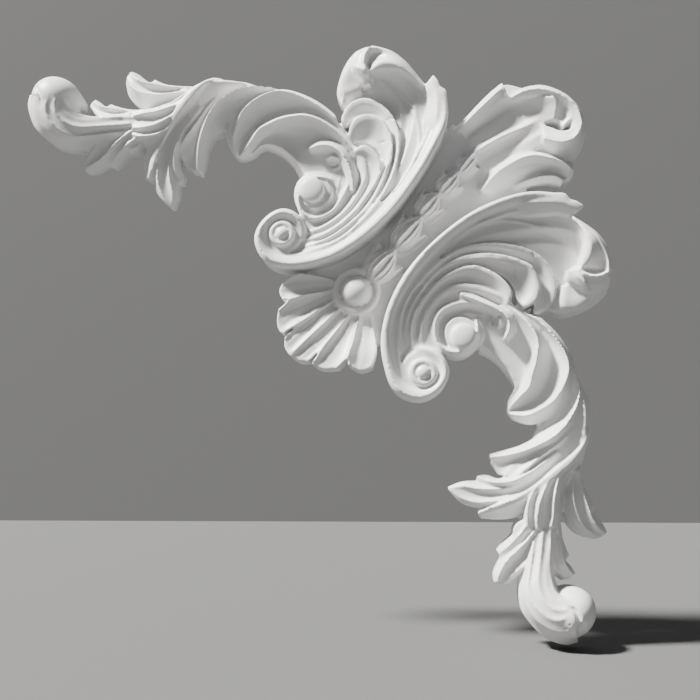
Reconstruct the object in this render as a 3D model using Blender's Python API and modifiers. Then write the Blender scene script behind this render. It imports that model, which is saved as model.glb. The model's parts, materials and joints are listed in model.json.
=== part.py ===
"""Floral corner applique: one moulded relief with two mirrored arms about a diagonal.

Plan lengths are millimetres on the flat back: u runs across the applique, v runs up its
line of symmetry from the centre button, and h is the height above the back.
The back lies on the wall plane y = 0, the relief looks to -Y, and the two arms run
towards -X and towards -Z. The origin is on the back behind the centre button.
"""
import math

import bmesh
import bpy
import numpy as np
from mathutils import Matrix

MM = 0.001
VOXEL = 1.15           # grain of the fused body
TARGET = 9300          # triangles of the faceted body
BACK_DEPTH = 3.0       # how far the blanks run past the back before the trim
DRAFT = 0.05           # outward lean of the walls, per millimetre of height
ALONG = 44             # steps along a blade
ACROSS = 5             # steps between two rails of a blade
CREST = 1.55           # how sharply a flank rises to its crest
SPAN = 420.0           # side of the block that trims the back
SETTLE_REACH = 11.0    # how far a local difference between the arms is felt

# button in its collar: radius, foot, top
BUTTON = (7.6, 13.0, 19.5)
COLLAR = (10.6, 1.9, 13.2)
COLLAR_PLATE = (10.6, 10.8)

# coiled eyes and low ground: centre u, centre v, radius, top
PLATES = ((51, 21, 12.5, 15.2), (52, 21, 8.3, 17.6), (50.5, -6.5, 10.5, 18.6),
          (58.0, 56.0, 5.5, 12.0), (144.0, -26.0, 6.0, 13.0), (150.0, -17.5, 4.5, 15.0))
DOMES = ((54, 20.5, 6.3, 19.6, 21.4), (50.5, -6.5, 3.8, 19.0, 22.6), (187.0, -39.5, 12.8, 11.0, 25.5))
VOLUTE_RING = (50.5, -6.5, 5.4, 1.3, 21.4)
EYE_RING = (
    (49.5, 38.5, 18.5), (43.5, 35, 19), (39.5, 28, 19), (38, 21, 19), (40.5, 14, 19),
    (44.5, 10, 19), (49, 9, 19), (56, 12, 19), (59.5, 17, 19), (60, 22, 19), (57.5, 27, 19),
    (55, 29.5, 19), (52, 31.5, 18),
)
EYE_RING_SIZE = (3.4, 2.4)

# husks of the stem: base v, tip v, half width, petal tip v, petal spread, top, lean in u
HUSKS = (
    (8.0, 29.0, 6.6, 26.0, 9.3, 20.5, 0.2),
    (28.5, 50.5, 5.7, 46.0, 8.3, 20.0, -2.0),
    (48.5, 65.5, 4.9, 62.5, 7.0, 19.5, -4.2),
    (64.5, 81.0, 4.4, 77.5, 6.2, 19.0, -5.0),
    (79.5, 93.5, 3.8, 89.5, 5.4, 19.0, -5.4),
)
HUSK_FOOT = 10.0
STALK = ((0, 6, 11), (-4.2, 57, 12), (-5.4, 96, 14))
STALK_SIZE = (3.5, 3.0)

# ground between the scrolls, from the bank to the middle
FIELD = (
    ((28, -18, 7.5), (20, 20, 7.5), (20, 60, 8.5), (27, 98, 12)),
    ((-1, -22, 7.5), (-1, 20, 7.5), (-1, 70, 8.5), (-1, 100, 12)),
)

# where each arm departs from the mean of the two: u, v, half difference in u and in v
SETTLING = (
    (52, -6, -4.7, 0.3), (48, -23, -3.4, 0.5), (62, -7, -4.3, 0), (15, 18, 0.4, 0),
    (21, -1, -0.4, 0), (13, 37, 1.1, 0), (15, 61, 1.7, 0), (21, 81, 1.3, 0), (29, 96, -0.4, 0),
    (41, 107, -1.4, -2.1), (51, 108, -2.5, -2.1), (51, 101, -1.4, -0.7), (67, 103, 0.1, -0.7),
    (89, 82, -1.7, 2.2), (71, 82, 2.2, -0.2), (72, 58, -3.3, 2.3), (65, 62, -2.1, 3.2),
    (54, 51, -7.2, 1.3), (55, 21, -2, 0), (80, 54, -0.3, 1.1), (100, 51, -0.3, -0.1),
    (118, 42, -0.3, -2), (127, 35, -0.3, -1.2), (140, 22, -0.2, 1.8), (142, 16, 0.6, 0.6),
    (78, 25, 0.9, 0.9), (99, 8, -1.5, -1.1), (111, 11, -0.4, -2.3), (106, -13, -0.6, -0.2),
    (102, -37, -0.4, 1.4), (125, -36, 1.1, 1.9), (136, -23, -1.3, 0.6), (142, -44, 0.1, 0.3),
    (152, -56, 0.2, 0.1), (175, -0, 0.8, -0.4), (161, 7, -0.1, -0.3), (179, -26, 1, 0.5),
    (168, -20, 0.6, -0.2), (182, -58, 1.1, -0.5), (197, -30, 3, 0), (201, -42, 3, 0),
    (15, 105, 0, 0), (15, 120, 0, 0), (27, 112, 0, 0), (28, 128, 0, 0), (8, 140, 0, 0),
    (22, 142, 0, 0), (180, -28, 0, 0),
)

# members of one arm: rails from one edge to the other, hollow between them, bow of the end
ARM_MEMBERS = {
    "scroll rim": ((
        ((40, 106, 21.5), (29, 96, 24), (19, 76, 26), (14, 55, 26), (12.5, 37.5, 25.5),
         (14, 18.5, 24), (21, -1, 22), (33, -16, 21), (48, -23, 20.5), (59.5, -17.5, 20.5),
         (63, -6, 20.5), (59.5, 3, 20.5), (51.5, 6.5, 20), (44.5, 5, 19), (39.5, 1, 17.5)),
        ((41, 103.5, 22.5), (30, 95, 25), (20.5, 75.5, 27), (15, 54.5, 27), (13.5, 37.5, 27),
         (15.5, 18, 25), (22, -0.5, 23), (33.5, -14, 22.5), (48, -21, 22), (58, -16.5, 22),
         (61, -6.5, 22), (58, 1.5, 22), (51, 4.5, 21.5), (44.5, 3, 20), (40, -1, 18)),
        ((43, 101.5, 21.5), (32.5, 93.5, 24), (22.5, 74.5, 26), (17.5, 55, 26), (16.5, 37.5, 25.5),
         (18, 18.5, 24.5), (24.5, 0, 22.5), (35.5, -12, 21), (48, -18, 21), (56, -14.5, 21),
         (59, -6, 20.5), (56.5, 0.5, 20.5), (51, 3, 20), (42, -2.5, 18)),
        ((46.5, 99, 20), (37, 91, 21.5), (26.5, 73.5, 24), (21, 55.5, 24.5), (20, 38, 24),
         (21.5, 18.5, 22.5), (28.5, 1, 20.5), (37, -8.5, 19.5), (48, -15, 19), (54.5, -12.5, 19),
         (57, -5.5, 19), (55, -0.5, 19), (51, 1, 18.5), (44.5, -3.5, 17)),
    ), (0.0, -0.2, 0.7), 0.0),
    "scroll bed": ((
        ((24, 4, 14), (20.5, 21.5, 14.5), (19.5, 41.5, 15), (22, 59.5, 15), (28, 76.5, 14.5),
         (38, 89.5, 13.5), (50, 94, 12.5)),
        ((36, 4, 14), (31, 21.5, 14.5), (31, 41.5, 15), (36, 55.5, 14.5), (44, 68, 13),
         (54, 76, 12), (62, 78, 11.5)),
        ((46, 8, 14), (42, 21.5, 14.5), (43, 39.5, 14.5), (50, 50, 13), (66, 66, 11),
         (74, 70.5, 10.5)),
    ), (0.0,), 0.0),
    "scroll floor": ((
        ((24.5, 8.5, 17), (37.5, -10, 17), (45.5, -16.5, 17.5)),
        ((36.5, 14.5, 16), (54.5, 3.5, 17.5)),
    ), (0.0,), 0.0),
    "scroll lobe three": ((
        ((37, -7.5, 17.5), (29, -0.5, 20.5), (23, 11.5, 22.5), (21, 28, 23.5), (22.5, 46, 24),
         (30, 60.5, 22.5), (46, 75, 19.5), (54, 77.5, 18.5), (62, 77, 17.5), (70, 73, 16.5),
         (74, 65, 15.5), (73, 58.5, 14)),
        ((37, -6.5, 17.5), (30, 1, 20), (24, 12, 22), (22, 28, 23), (24, 45.5, 23.5),
         (31, 59.5, 22), (47, 73, 19), (54.5, 75.5, 18), (61.5, 75, 17), (68.5, 71.5, 16),
         (72, 65, 15), (71, 58.5, 13.5)),
        ((37.5, -5.5, 17), (26, 12.5, 20), (24.5, 28.5, 21), (28, 45, 21), (37.5, 61.5, 18),
         (45.5, 68, 17), (51.5, 70, 16), (62.5, 67, 15), (68, 57.5, 13.5)),
    ), (0.0, 1.5), 2.5),
    "scroll lobe two": ((
        ((36.5, -3.5, 17.5), (28.5, 7, 20.5), (24.5, 20.5, 22), (24.5, 40, 23), (30, 53, 23),
         (37, 62, 22), (46, 68.5, 21), (53.5, 71, 20.5), (60, 69, 19.5), (65, 64.5, 19),
         (66, 58, 18), (63, 52, 16.5)),
        ((36.5, -2.5, 17.5), (29, 8, 20.5), (25.5, 21, 22), (26, 39, 22.5), (31.5, 51.5, 22.5),
         (38, 60, 21.5), (46.5, 66.5, 20.5), (53.5, 69, 20), (59, 67.5, 19), (63, 63.5, 18.5),
         (64, 58.5, 17.5), (61.5, 52.5, 16)),
        ((37, -1.5, 17), (31, 8.5, 19), (27.5, 21, 20), (28.5, 38.5, 20), (34.5, 52, 19),
         (44.5, 57.5, 17.5), (51.5, 57.5, 16), (59, 53.5, 15)),
    ), (0.0, 1.6), 2.5),
    "scroll lobe one": ((
        ((38.5, -1, 17.5), (31.5, 7.5, 20), (27.5, 20.5, 21), (28, 36, 22), (34, 50.5, 22),
         (43.5, 55.5, 22), (50, 55.5, 21.5), (54.5, 53.5, 21), (55.5, 51, 20)),
        ((39, 0, 17.5), (32.5, 8.5, 19.5), (29, 21, 21), (29.5, 35.5, 21.5), (35, 49, 22),
         (44, 53.5, 21.5), (49.5, 53.5, 21), (54, 50, 19.5)),
        ((41, 2, 17), (35, 10, 18), (32, 21, 18.5), (34, 35.5, 19), (40.5, 44, 19),
         (52.5, 49, 18)),
    ), (0.0, 1.2), 1.6),
    "scroll eye band": ((
        ((40, 2, 17), (33.5, 13, 18.5), (31.5, 23, 19.5), (33, 35.5, 19.5), (41.5, 45.5, 19.5),
         (57, 51.5, 18.5)),
        ((41.5, 3, 17), (35, 13.5, 19), (33, 23, 19.5), (35, 34.5, 19.5), (42.5, 43.5, 19.5),
         (57.5, 50, 18.5)),
        ((44, 5.5, 16), (39, 14, 16.5), (37, 22.5, 17), (39, 32, 17), (44.5, 39, 16.5),
         (57.5, 46, 16)),
    ), (0.0, 1), 0.0),
    "scroll eye floor": ((
        ((44.5, 7.5, 15), (39.5, 14.5, 15.5), (38, 22.5, 15.5), (39.5, 31.5, 15.5), (45.5, 39, 15),
         (60, 44, 13)),
        ((53.5, 13.5, 15), (55.5, 24.5, 15), (68, 36, 12.5)),
    ), (0.0,), 0.0),
    "scroll leaflet": ((
        ((44.5, 43, 18), (51.5, 47.5, 18.5), (57, 48.5, 19), (67, 43, 18), (70, 36.5, 15)),
        ((45.5, 41.5, 17.5), (57, 46, 19), (65, 42, 18), (69.5, 36.5, 15)),
        ((47, 40.5, 15.5), (57.5, 43, 16), (68.5, 36.5, 14)),
    ), (-0.8, 0.0), 0.0),
    "crown hollow": ((
        ((16.5, 32.5, 20), (17, 46, 21.5), (20.5, 64, 21.5), (27.5, 83.5, 20.5), (37.5, 96, 20),
         (61, 102.5, 19), (71.5, 101.5, 19.5), (85.5, 95, 20), (90, 86.5, 18), (89.5, 79.5, 16.5),
         (86.5, 72, 14), (79.5, 64.5, 11.5)),
        ((21, 32.5, 20), (22.5, 45.5, 22.5), (27.5, 60, 21.5), (35.5, 75, 19.5), (50, 92.5, 17.5),
         (58, 96.5, 17.5), (74.5, 93, 18), (79.5, 87.5, 18), (81.5, 81.5, 17), (82, 75.5, 15.5),
         (77.5, 63.5, 13)),
        ((23.5, 33, 19), (24.5, 45, 21), (31, 58.5, 19.5), (53, 85, 15), (59.5, 88.5, 15),
         (72, 86.5, 14.5), (77.5, 78, 13), (75.5, 63.5, 12.5)),
        ((26, 33, 17), (26.5, 45, 18), (35.5, 59, 16), (56, 76.5, 13), (61, 77, 12.5),
         (69, 73, 12), (73, 68, 11), (74.5, 61.5, 11)),
    ), (0.6, 1.6, 0.8), 0.0),
    "crown fin": ((
        ((20, 82, 18.5), (26.5, 92.5, 20), (37.5, 104.5, 19.5), (41.5, 107.5, 19.5),
         (51.5, 109.5, 18.5)),
        ((24, 79.5, 22), (30, 88, 24.5), (40, 98.5, 24), (51, 104.5, 21.5)),
        ((28, 78, 19), (35.5, 85.5, 21), (43, 95, 20.5), (51, 101, 19.5)),
    ), (-0.2, -0.4), 0.0),
    "crown roll": ((
        ((49.5, 102, 18), (68.5, 104, 18.5), (75.5, 102.5, 19), (85.5, 96.5, 19)),
        ((50.5, 100.5, 21), (68, 101.5, 23.5), (75, 99.5, 23.5), (84, 93.5, 23.5)),
        ((51, 100, 21.5), (67.5, 99, 25.5), (78, 96, 21), (80.5, 93, 20)),
        ((51.5, 99.5, 22), (67, 96.5, 26), (73.5, 90.5, 25), (74.5, 86.5, 24)),
        ((51.5, 99.5, 21), (59.5, 98.5, 23), (64.5, 95.5, 24.5), (73.5, 84, 23.5)),
        ((51.5, 99.5, 18.5), (64, 96.5, 16.5), (72.5, 85.5, 15.5)),
    ), (-0.2, 0.5, 0.2, -0.2, 0.0), 0.0),
    "crown tongue": ((
        ((70, 83.5, 18), (78.5, 89, 19.5), (82.5, 95.5, 22)),
        ((71.5, 82.5, 23), (79.5, 85.5, 25.5), (84, 93.5, 24)),
        ((73, 80.5, 22), (75, 80.5, 24), (82, 83, 23.5), (85, 86.5, 23), (86, 92.5, 22)),
        ((75.5, 78.5, 18), (81.5, 78.5, 20.5), (85, 81, 20.5), (88, 90.5, 19)),
    ), (0.0, 0.3, 0.0), 0.0),
    "crown facet": ((
        ((74.5, 85.5, 23), (84.5, 82.5, 19.5)),
        ((73, 84, 25), (80, 81, 25), (84, 80.5, 22)),
        ((69.5, 80.5, 21.5), (72.5, 77.5, 20.5), (83, 79.5, 20.5)),
        ((69, 82, 15), (72, 77.5, 14.5), (83.5, 79.5, 17)),
    ), (0.0,), 0.0),
    "crown ball": ((
        ((71.5, 76, 12.5), (81.5, 81, 20), (85.5, 87.5, 21), (86.5, 93.5, 20)),
        ((73.5, 71, 12.5), (85, 77.5, 19), (88, 90.5, 19)),
        ((76, 67, 12), (84.5, 71.5, 16.5), (89.5, 88, 17.5)),
        ((78, 63.5, 11), (83, 66, 11), (86.5, 71, 12), (90.5, 82.5, 13), (90.5, 89.5, 13)),
    ), (0.0, -0.3, -0.4), 0.0),
    "arm body": ((
        ((47, 51.5, 10), (73, 55.5, 10), (84.5, 54.5, 10), (105, 48.5, 10), (122.5, 40.5, 10),
         (129, 35, 10), (142.5, 16.5, 9)),
        ((48, 48.5, 16), (74, 51.5, 15.5), (95, 48.5, 15.5), (121, 36, 21), (131.5, 26.5, 20),
         (138, 15, 17)),
        ((49.5, 36.5, 13), (72, 41, 14), (84, 41, 14), (93.5, 38, 14), (109, 28.5, 14),
         (114.5, 23, 13.5), (118, 16.5, 13), (123.5, -5, 11)),
        ((62.5, 24.5, 9), (77.5, 26.5, 9), (111, 15.5, 8.5), (115, 12, 8.5), (115.5, -1.5, 8.5),
         (118.5, -10, 8.5)),
    ), (0.0, 0.8, 0.4), 0.0),
    "arm hollow": ((
        ((56.5, 51, 17), (74, 52, 16.5), (82.5, 50.5, 16), (94, 42.5, 15), (100, 31, 14),
         (101, 24.5, 13), (97, 9.5, 9.5)),
        ((53.5, 49, 18.5), (69.5, 49, 22), (82.5, 44.5, 24), (90, 35, 23.5), (95.5, 24.5, 20),
         (96, 9.5, 11)),
        ((53, 44, 16.5), (70.5, 44, 15.5), (84, 38.5, 14.5), (91.5, 29.5, 13.5), (95, 10.5, 10)),
        ((58.5, 31, 13.5), (75.5, 32, 12.5), (86.5, 29.5, 11.5), (90.5, 26.5, 11),
         (94.5, 11.5, 9.5)),
        ((63.5, 24.5, 14), (70.5, 26, 14), (84, 25, 13), (91, 20.5, 12), (94.5, 11, 9)),
        ((65.5, 22, 8.5), (79, 24.5, 8.5), (90, 22, 8.5), (95, 11, 8)),
    ), (0.0, 0.5, 0.4, 0.2, 0.0), 0.5),
    "arm lobe one": ((
        ((74.5, 56, 17.5), (85, 55.5, 17.5), (102, 50, 16.5), (111.5, 38.5, 15.5), (113.5, 25, 13),
         (112.5, 18.5, 11.5), (110.5, 13, 9.5), (101.5, 8, 8)),
        ((71.5, 54, 19.5), (89.5, 51, 24), (97, 48, 25), (102.5, 44, 25), (106, 38, 24.5),
         (108.5, 25.5, 21), (104, 12.5, 14.5), (98.5, 8.5, 11.5)),
        ((67.5, 53, 18.5), (85.5, 51.5, 18.5), (98.5, 44, 18.5), (104.5, 32, 17),
         (105, 25.5, 15.5), (101, 13, 12), (97, 9, 10)),
        ((56.5, 51, 16.5), (74, 52.5, 16), (82.5, 50.5, 15.5), (94, 43, 14.5), (100, 31, 13.5),
         (101, 24.5, 12.5), (96, 10, 9)),
    ), (0.3, 0.0, 0.5), 0.5),
    "arm lobe two": ((
        ((119.5, 37, 17.5), (125.5, 24.5, 15.5), (123.5, 8.5, 13.5), (116.5, -5, 11.5),
         (107.5, -13.5, 9.5)),
        ((100.5, 49.5, 18), (113, 41, 21.5), (117, 35.5, 23), (121, 21.5, 23), (118, 5.5, 19),
         (106.5, -12.5, 11)),
        ((102, 45.5, 17), (114, 36, 17.5), (118, 22.5, 16), (113, 0, 12), (105.5, -12, 9)),
        ((100, 49, 16.5), (106.5, 45.5, 16), (111.5, 39.5, 15.5), (113.5, 32.5, 14), (115, 8, 8.5),
         (113, 1, 8.5), (105, -12, 8)),
    ), (0.3, 0.0, 0.5), 0.5),
    "arm lobe fold": ((
        ((125.5, 30.5, 16.5), (128, 16, 14.5), (123, -13, 10.5)),
        ((123.5, 31, 17), (125.5, 15.5, 16), (123, -1, 16), (121.5, -11.5, 13.5)),
        ((121, 31, 17), (122.5, 15.5, 15), (117.5, -14, 11)),
        ((123, 19, 13), (117, 0, 11), (108.5, -14.5, 8.5), (115.5, -16, 8)),
    ), (0.3, 0.4, 0.2), 0.4),
    "arm tooth": ((
        ((125, 3, 12), (119.5, -13.5, 9.5), (108.5, -23.5, 7)),
        ((127.5, 12.5, 15.5), (122, -13, 16), (118.5, -18, 14.5), (109, -23.5, 9.5)),
        ((129.5, 12, 15), (128, -6, 13.5), (125.5, -13.5, 12.5), (117, -23.5, 10.5),
         (110.5, -25, 8)),
    ), (0.2, 0.3), 0.4),
    "arm lobe three": ((
        ((128.5, 13.5, 14), (125.5, -6, 11), (121.5, -15.5, 9.5), (105.5, -30.5, 7),
         (102.5, -37, 6)),
        ((129.5, 13, 14.5), (127, -7.5, 13), (123.5, -16.5, 13), (113, -27.5, 12.5),
         (107, -31.5, 10.5), (103, -37, 7)),
        ((131, 12.5, 14.5), (131, 2.5, 13), (125.5, -17.5, 11), (114, -31, 9.5),
         (103.5, -37.5, 6.5)),
        ((132, 12, 15), (131, -8.5, 13.5), (123, -26.5, 13), (118, -32.5, 11.5), (104, -37.5, 7)),
        ((133.5, 12, 13), (133.5, -9, 11), (126, -27.5, 9), (120.5, -34, 7.5), (113, -38, 6.5),
         (104, -38, 6)),
    ), (0.2, 0.3, 0.3, 0.2), 0.4),
    "arm lobe four": ((
        ((129, 31.5, 16), (132.5, 15, 14.5), (131, -5, 12.5), (126.5, -23.5, 11),
         (121.5, -34.5, 8)),
        ((130.5, 30.5, 18.5), (133, 24.5, 20), (133.5, 16, 20.5), (131.5, -3.5, 19),
         (127, -21.5, 15.5), (122, -35, 9.5)),
        ((133.5, 27, 19), (136, 14.5, 20.5), (134.5, -3, 19), (130, -20.5, 15), (123, -35.5, 9)),
        ((138, 22.5, 13), (140, 10, 14.5), (138.5, -7.5, 13), (134, -22.5, 10), (124.5, -36, 7)),
        ((140.5, 19.5, 9), (142.5, -2.5, 9), (139, -18, 8.5), (131.5, -31, 7), (125.5, -36.5, 6)),
    ), (0.4, 0.0, 0.0, 0.2), 0.4),
    "end leaf ground": ((
        ((134, -10, 9), (143, -29.5, 8.5), (146, -42, 8), (151, -44, 7.5), (157, -42, 8),
         (164.5, -47, 9)),
        ((142, 15.5, 9), (147, -2, 10), (172, -36, 11)),
    ), (0.0,), 0.0),
    "end leaf leaf a": ((
        ((141, 16.5, 12), (153, 8.5, 10), (161.5, 6.5, 7), (160.5, 4, 8), (174.5, 1, 6)),
        ((141, 14.5, 15), (158, 2.5, 15), (168.5, -0.5, 11.5), (173.5, 0, 8)),
        ((141, 13.5, 14.5), (151.5, 3.5, 12), (162.5, -2.5, 10.5), (168, -3, 9.5), (173.5, -1, 7)),
        ((140, 12, 16), (149.5, 0.5, 16.5), (155, -3, 15.5), (160.5, -5, 14), (173, -3, 8)),
        ((140.5, 9.5, 14), (154, -5, 10.5), (165.5, -7, 8.5), (172.5, -4, 6.5)),
        ((141, 6, 12), (148, -4, 8), (158, -10, 6.5), (164, -10, 6), (172, -5.5, 6)),
    ), (0.2, 0.4, 0.4, 0.4, 0.2), 0.0),
    "end leaf leaf b": ((
        ((154.5, -12, 9), (168.5, -20, 7), (168.5, -22.5, 7.5), (177, -24, 6)),
        ((153.5, -14, 14), (164, -22, 13.5), (176, -25.5, 8.5)),
        ((153.5, -15.5, 13), (169, -27, 9.5), (176.5, -27.5, 7)),
        ((153.5, -17, 14.5), (162.5, -26.5, 12.5), (168, -29.5, 11), (175, -29.5, 8)),
        ((153, -18, 12), (162.5, -28, 9), (168, -31.5, 7), (174, -31.5, 6)),
    ), (0.2, 0.3, 0.3, 0.2), 0.0),
    "end leaf tooth c": ((
        ((138.5, -23, 9), (141, -34, 8.5), (141.5, -43, 6)),
        ((140.5, -23.5, 15.5), (142.5, -34, 14), (143, -43.5, 7.5)),
        ((143, -24, 15), (145.5, -35, 12.5), (145, -44, 7)),
    ), (0.2, 0.2), 0.0),
    "end leaf leaf c": ((
        ((146.5, -33.5, 9), (146.5, -48.5, 6.5), (151.5, -55.5, 6)),
        ((146, -23, 16), (147, -41.5, 14), (152.5, -54.5, 7.5)),
        ((149, -23.5, 14), (152, -47.5, 9.5), (154, -54, 6.5)),
        ((151.5, -24.5, 16), (155, -41.5, 13), (154.5, -53.5, 7)),
        ((156, -29, 10), (159, -41, 7), (155.5, -53.5, 6)),
    ), (0.2, 0.3, 0.3, 0.2), 0.0),
    "end leaf stem": ((
        ((146.5, -30, 9), (158.5, -45.5, 9), (170.5, -56, 10), (186, -57.5, 11),
         (197.5, -51.5, 12), (200.5, -47, 12)),
        ((148, -28, 13), (164, -49, 17.5), (169.5, -52.5, 18.5), (182.5, -53, 20.5),
         (191.5, -47.5, 22), (193.5, -43.5, 22)),
        ((147.5, -24.5, 15), (162.5, -46, 20.5), (168, -49, 22), (180, -48, 24),
         (183.5, -44.5, 25), (185.5, -37.5, 24.5)),
        ((148, -22.5, 14.5), (159.5, -39.5, 18), (169, -47.5, 21.5), (179.5, -46.5, 23.5),
         (184.5, -37.5, 24)),
        ((148.5, -20.5, 16.5), (163.5, -40, 21), (168.5, -43.5, 22.5), (177.5, -44, 24.5),
         (183, -37, 24)),
        ((150, -19, 15.5), (157, -26, 16), (170.5, -40, 21.5), (177, -40, 23), (182, -36.5, 23)),
        ((151.5, -17.5, 16.5), (163, -30, 17.5), (171, -36.5, 20.5), (176.5, -37.5, 22.5),
         (181, -36, 22.5)),
        ((155, -15.5, 9), (170.5, -33, 10), (174.5, -35, 12), (177.5, -36, 18),
         (181.5, -35.5, 21.5)),
    ), (0.2, 0.0, 0.3, 0.3, 0.3, 0.3, 0.2), 0.0),
    "end leaf folds": ((
        ((135, -13.5, 9), (135, -17, 8), (139, -24, 8), (146, -26.5, 9)),
        ((132, 0.5, 17.5), (133, -14.5, 19.5), (140.5, -23, 18), (145.5, -24.5, 15.5)),
        ((133, 2, 17), (135.5, -12.5, 16.5), (145.5, -23, 14.5)),
        ((134, 4.5, 18.5), (136.5, -9.5, 20.5), (142.5, -19, 19), (146.5, -22, 16.5)),
        ((135.5, 5, 17.5), (140, -6, 15.5), (149.5, -18, 15.5)),
        ((135.5, 8, 19), (140, -3, 20), (150.5, -17, 17)),
        ((137, 10.5, 18), (141, -0.5, 17.5), (152, -15.5, 15.5)),
        ((138.5, 14.5, 18), (139.5, 3.5, 19), (142.5, -2, 18.5), (154.5, -15.5, 14)),
        ((141, 16.5, 12), (144.5, -0.5, 12), (156.5, -14, 9)),
    ), (0.2, 0.3, 0.3, 0.3, 0.3, 0.2, 0.2, 0.2), 0.0),
    "shell lobe centre": ((
        ((5, -8, 9.5), (8.5, -43, 16.5)),
        ((3, -8.5, 10), (5, -45.5, 16)),
        ((-0.5, -9, 11), (-0.5, -38, 17), (-0.5, -47.5, 17)),
    ), (0.6, 0.9), 1),
    "shell lobe two": ((
        ((5, -8, 10), (10.5, -42.5, 17)),
        ((7, -7, 9.5), (15.5, -39.5, 16)),
        ((9, -6, 9.5), (21, -28, 17), (21.5, -35, 16.5)),
    ), (0.8, 0.6), 1.8),
    "shell lobe three": ((
        ((9, -5.5, 10), (21, -27, 17), (23.5, -30, 16.5)),
        ((11, -4.5, 9.5), (28.5, -26.5, 15.5)),
        ((12, -3, 9.5), (29, -15.5, 15.5), (32, -22, 15.5)),
    ), (0.8, 0.6), 1.8),
}

# members of the leaf at the head of the line of symmetry
CREST_MEMBERS = {
    "crest field": ((
        ((-24, 94.5, 8), (-22.5, 131.5, 10.5), (0, 147, 11), (14, 148.5, 11), (24.5, 142, 11),
         (30.5, 130.5, 11)),
        ((9, 83, 8), (19, 99.5, 10.5), (34.5, 113, 11), (36, 117, 11)),
    ), (0.0,), 0.0),
    "crest body": ((
        ((-24.5, 94.5, 12), (-22.5, 130, 17)),
        ((-21.5, 94.5, 17), (-20.5, 112.5, 21.5), (-20, 127.5, 22)),
        ((-19, 96, 16), (-17.5, 114.5, 18), (-14, 125, 21.5)),
        ((-15.5, 95.5, 13.5), (-8.5, 124, 16.5), (-5.5, 131.5, 20)),
        ((-10, 93.5, 13.5), (-5, 111.5, 15), (2.5, 131.5, 20)),
        ((-7, 92.5, 16.5), (6, 129, 20.5)),
        ((-5.5, 93, 14), (0, 110, 15), (9, 127.5, 20)),
        ((0.5, 90.5, 12.5), (4, 106, 14), (12, 125, 20.5)),
        ((8, 85, 12), (8.5, 102, 14.5), (17, 119.5, 18)),
    ), (0.0, 0.0, 1.2, 0.0, 0.0, 0.0, 0.6, 0.0), 0.0),
    "crest bowl": ((
        ((-7, 131.5, 20.5), (3.5, 138, 26)),
        ((-2, 126.5, 17.5), (8, 135.5, 24.5)),
        ((5, 121.5, 18), (11, 131, 22)),
    ), (0.0,), 0.0),
    "crest ledge": ((
        ((7.5, 126, 20), (18, 129.5, 23.5), (20.5, 132.5, 24.5), (20, 138, 25)),
        ((14, 120.5, 23), (21.5, 125.5, 24.5), (24.5, 134.5, 25.5)),
    ), (0.0,), 0.0),
    "crest pocket": ((
        ((2.5, 138.5, 26), (6, 137.5, 25.5), (10.5, 131, 22)),
        ((4, 141.5, 23), (11.5, 138.5, 20), (13.5, 133, 20.5)),
        ((7, 141.5, 25.5), (13, 140.5, 25.5), (17, 137, 24.5), (17.5, 131, 24)),
    ), (0.0, 0.5), 0.0),
    "crest roll": ((
        ((-15, 127.5, 15.5), (-11, 138, 17), (-6.5, 143, 17), (6.5, 148, 16.5), (14, 147.5, 16.5),
         (26, 141, 16.5), (31.5, 129.5, 14.5), (27.5, 121.5, 14), (21, 118.5, 14)),
        ((-13, 125.5, 21.5), (-7.5, 134.5, 25.5), (-3, 138, 26.5), (8.5, 142, 28), (15, 142, 28.5),
         (20.5, 139.5, 28), (25.5, 133, 26.5), (25, 128, 26), (21.5, 123.5, 25.5),
         (14.5, 120, 24)),
        ((-11, 125.5, 21), (-1.5, 136.5, 24), (3, 139, 25), (13, 139.5, 25), (19.5, 135, 24.5),
         (21, 129.5, 24), (18.5, 125, 24), (13, 122, 23)),
    ), (0.0,), 0.0),
    "crest side lobe": ((
        ((7.5, 81.5, 11), (6.5, 97, 14), (10.5, 110, 15.5), (20, 119.5, 15), (33, 124, 12.5)),
        ((10.5, 81, 16.5), (10, 94, 22.5), (13.5, 105.5, 24.5), (17, 110.5, 24.5), (27, 117.5, 22),
         (32.5, 119.5, 20), (35.5, 121, 16)),
        ((13, 82.5, 14), (14.5, 96.5, 17), (17.5, 104, 18), (26.5, 113, 17.5), (35.5, 118, 15.5),
         (36.5, 120, 14)),
        ((15.5, 85.5, 12.5), (22.5, 105, 15.5), (26.5, 110, 15.5), (37, 116, 13.5),
         (37, 118.5, 13)),
    ), (0.0, 0.6, 0.3), 0.0),
    "crest tongue": ((
        ((18, 95, 13), (26.5, 111.5, 15.5), (36, 116, 14)),
        ((19.5, 94.5, 13.5), (28, 108.5, 19.5), (35.5, 112.5, 17)),
        ((22, 94.5, 13), (28, 104, 16), (36, 110.5, 14.5)),
    ), (0.0,), 0.0),
}


def clear_scene():
    """Remove whatever the file held before."""
    for thing in list(bpy.data.objects):
        bpy.data.objects.remove(thing, do_unlink=True)


def ease(x):
    """Run softly from 0 to 1 while x does."""
    x = np.clip(x, 0.0, 1.0)
    return x * x * (3.0 - 2.0 * x)


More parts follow.
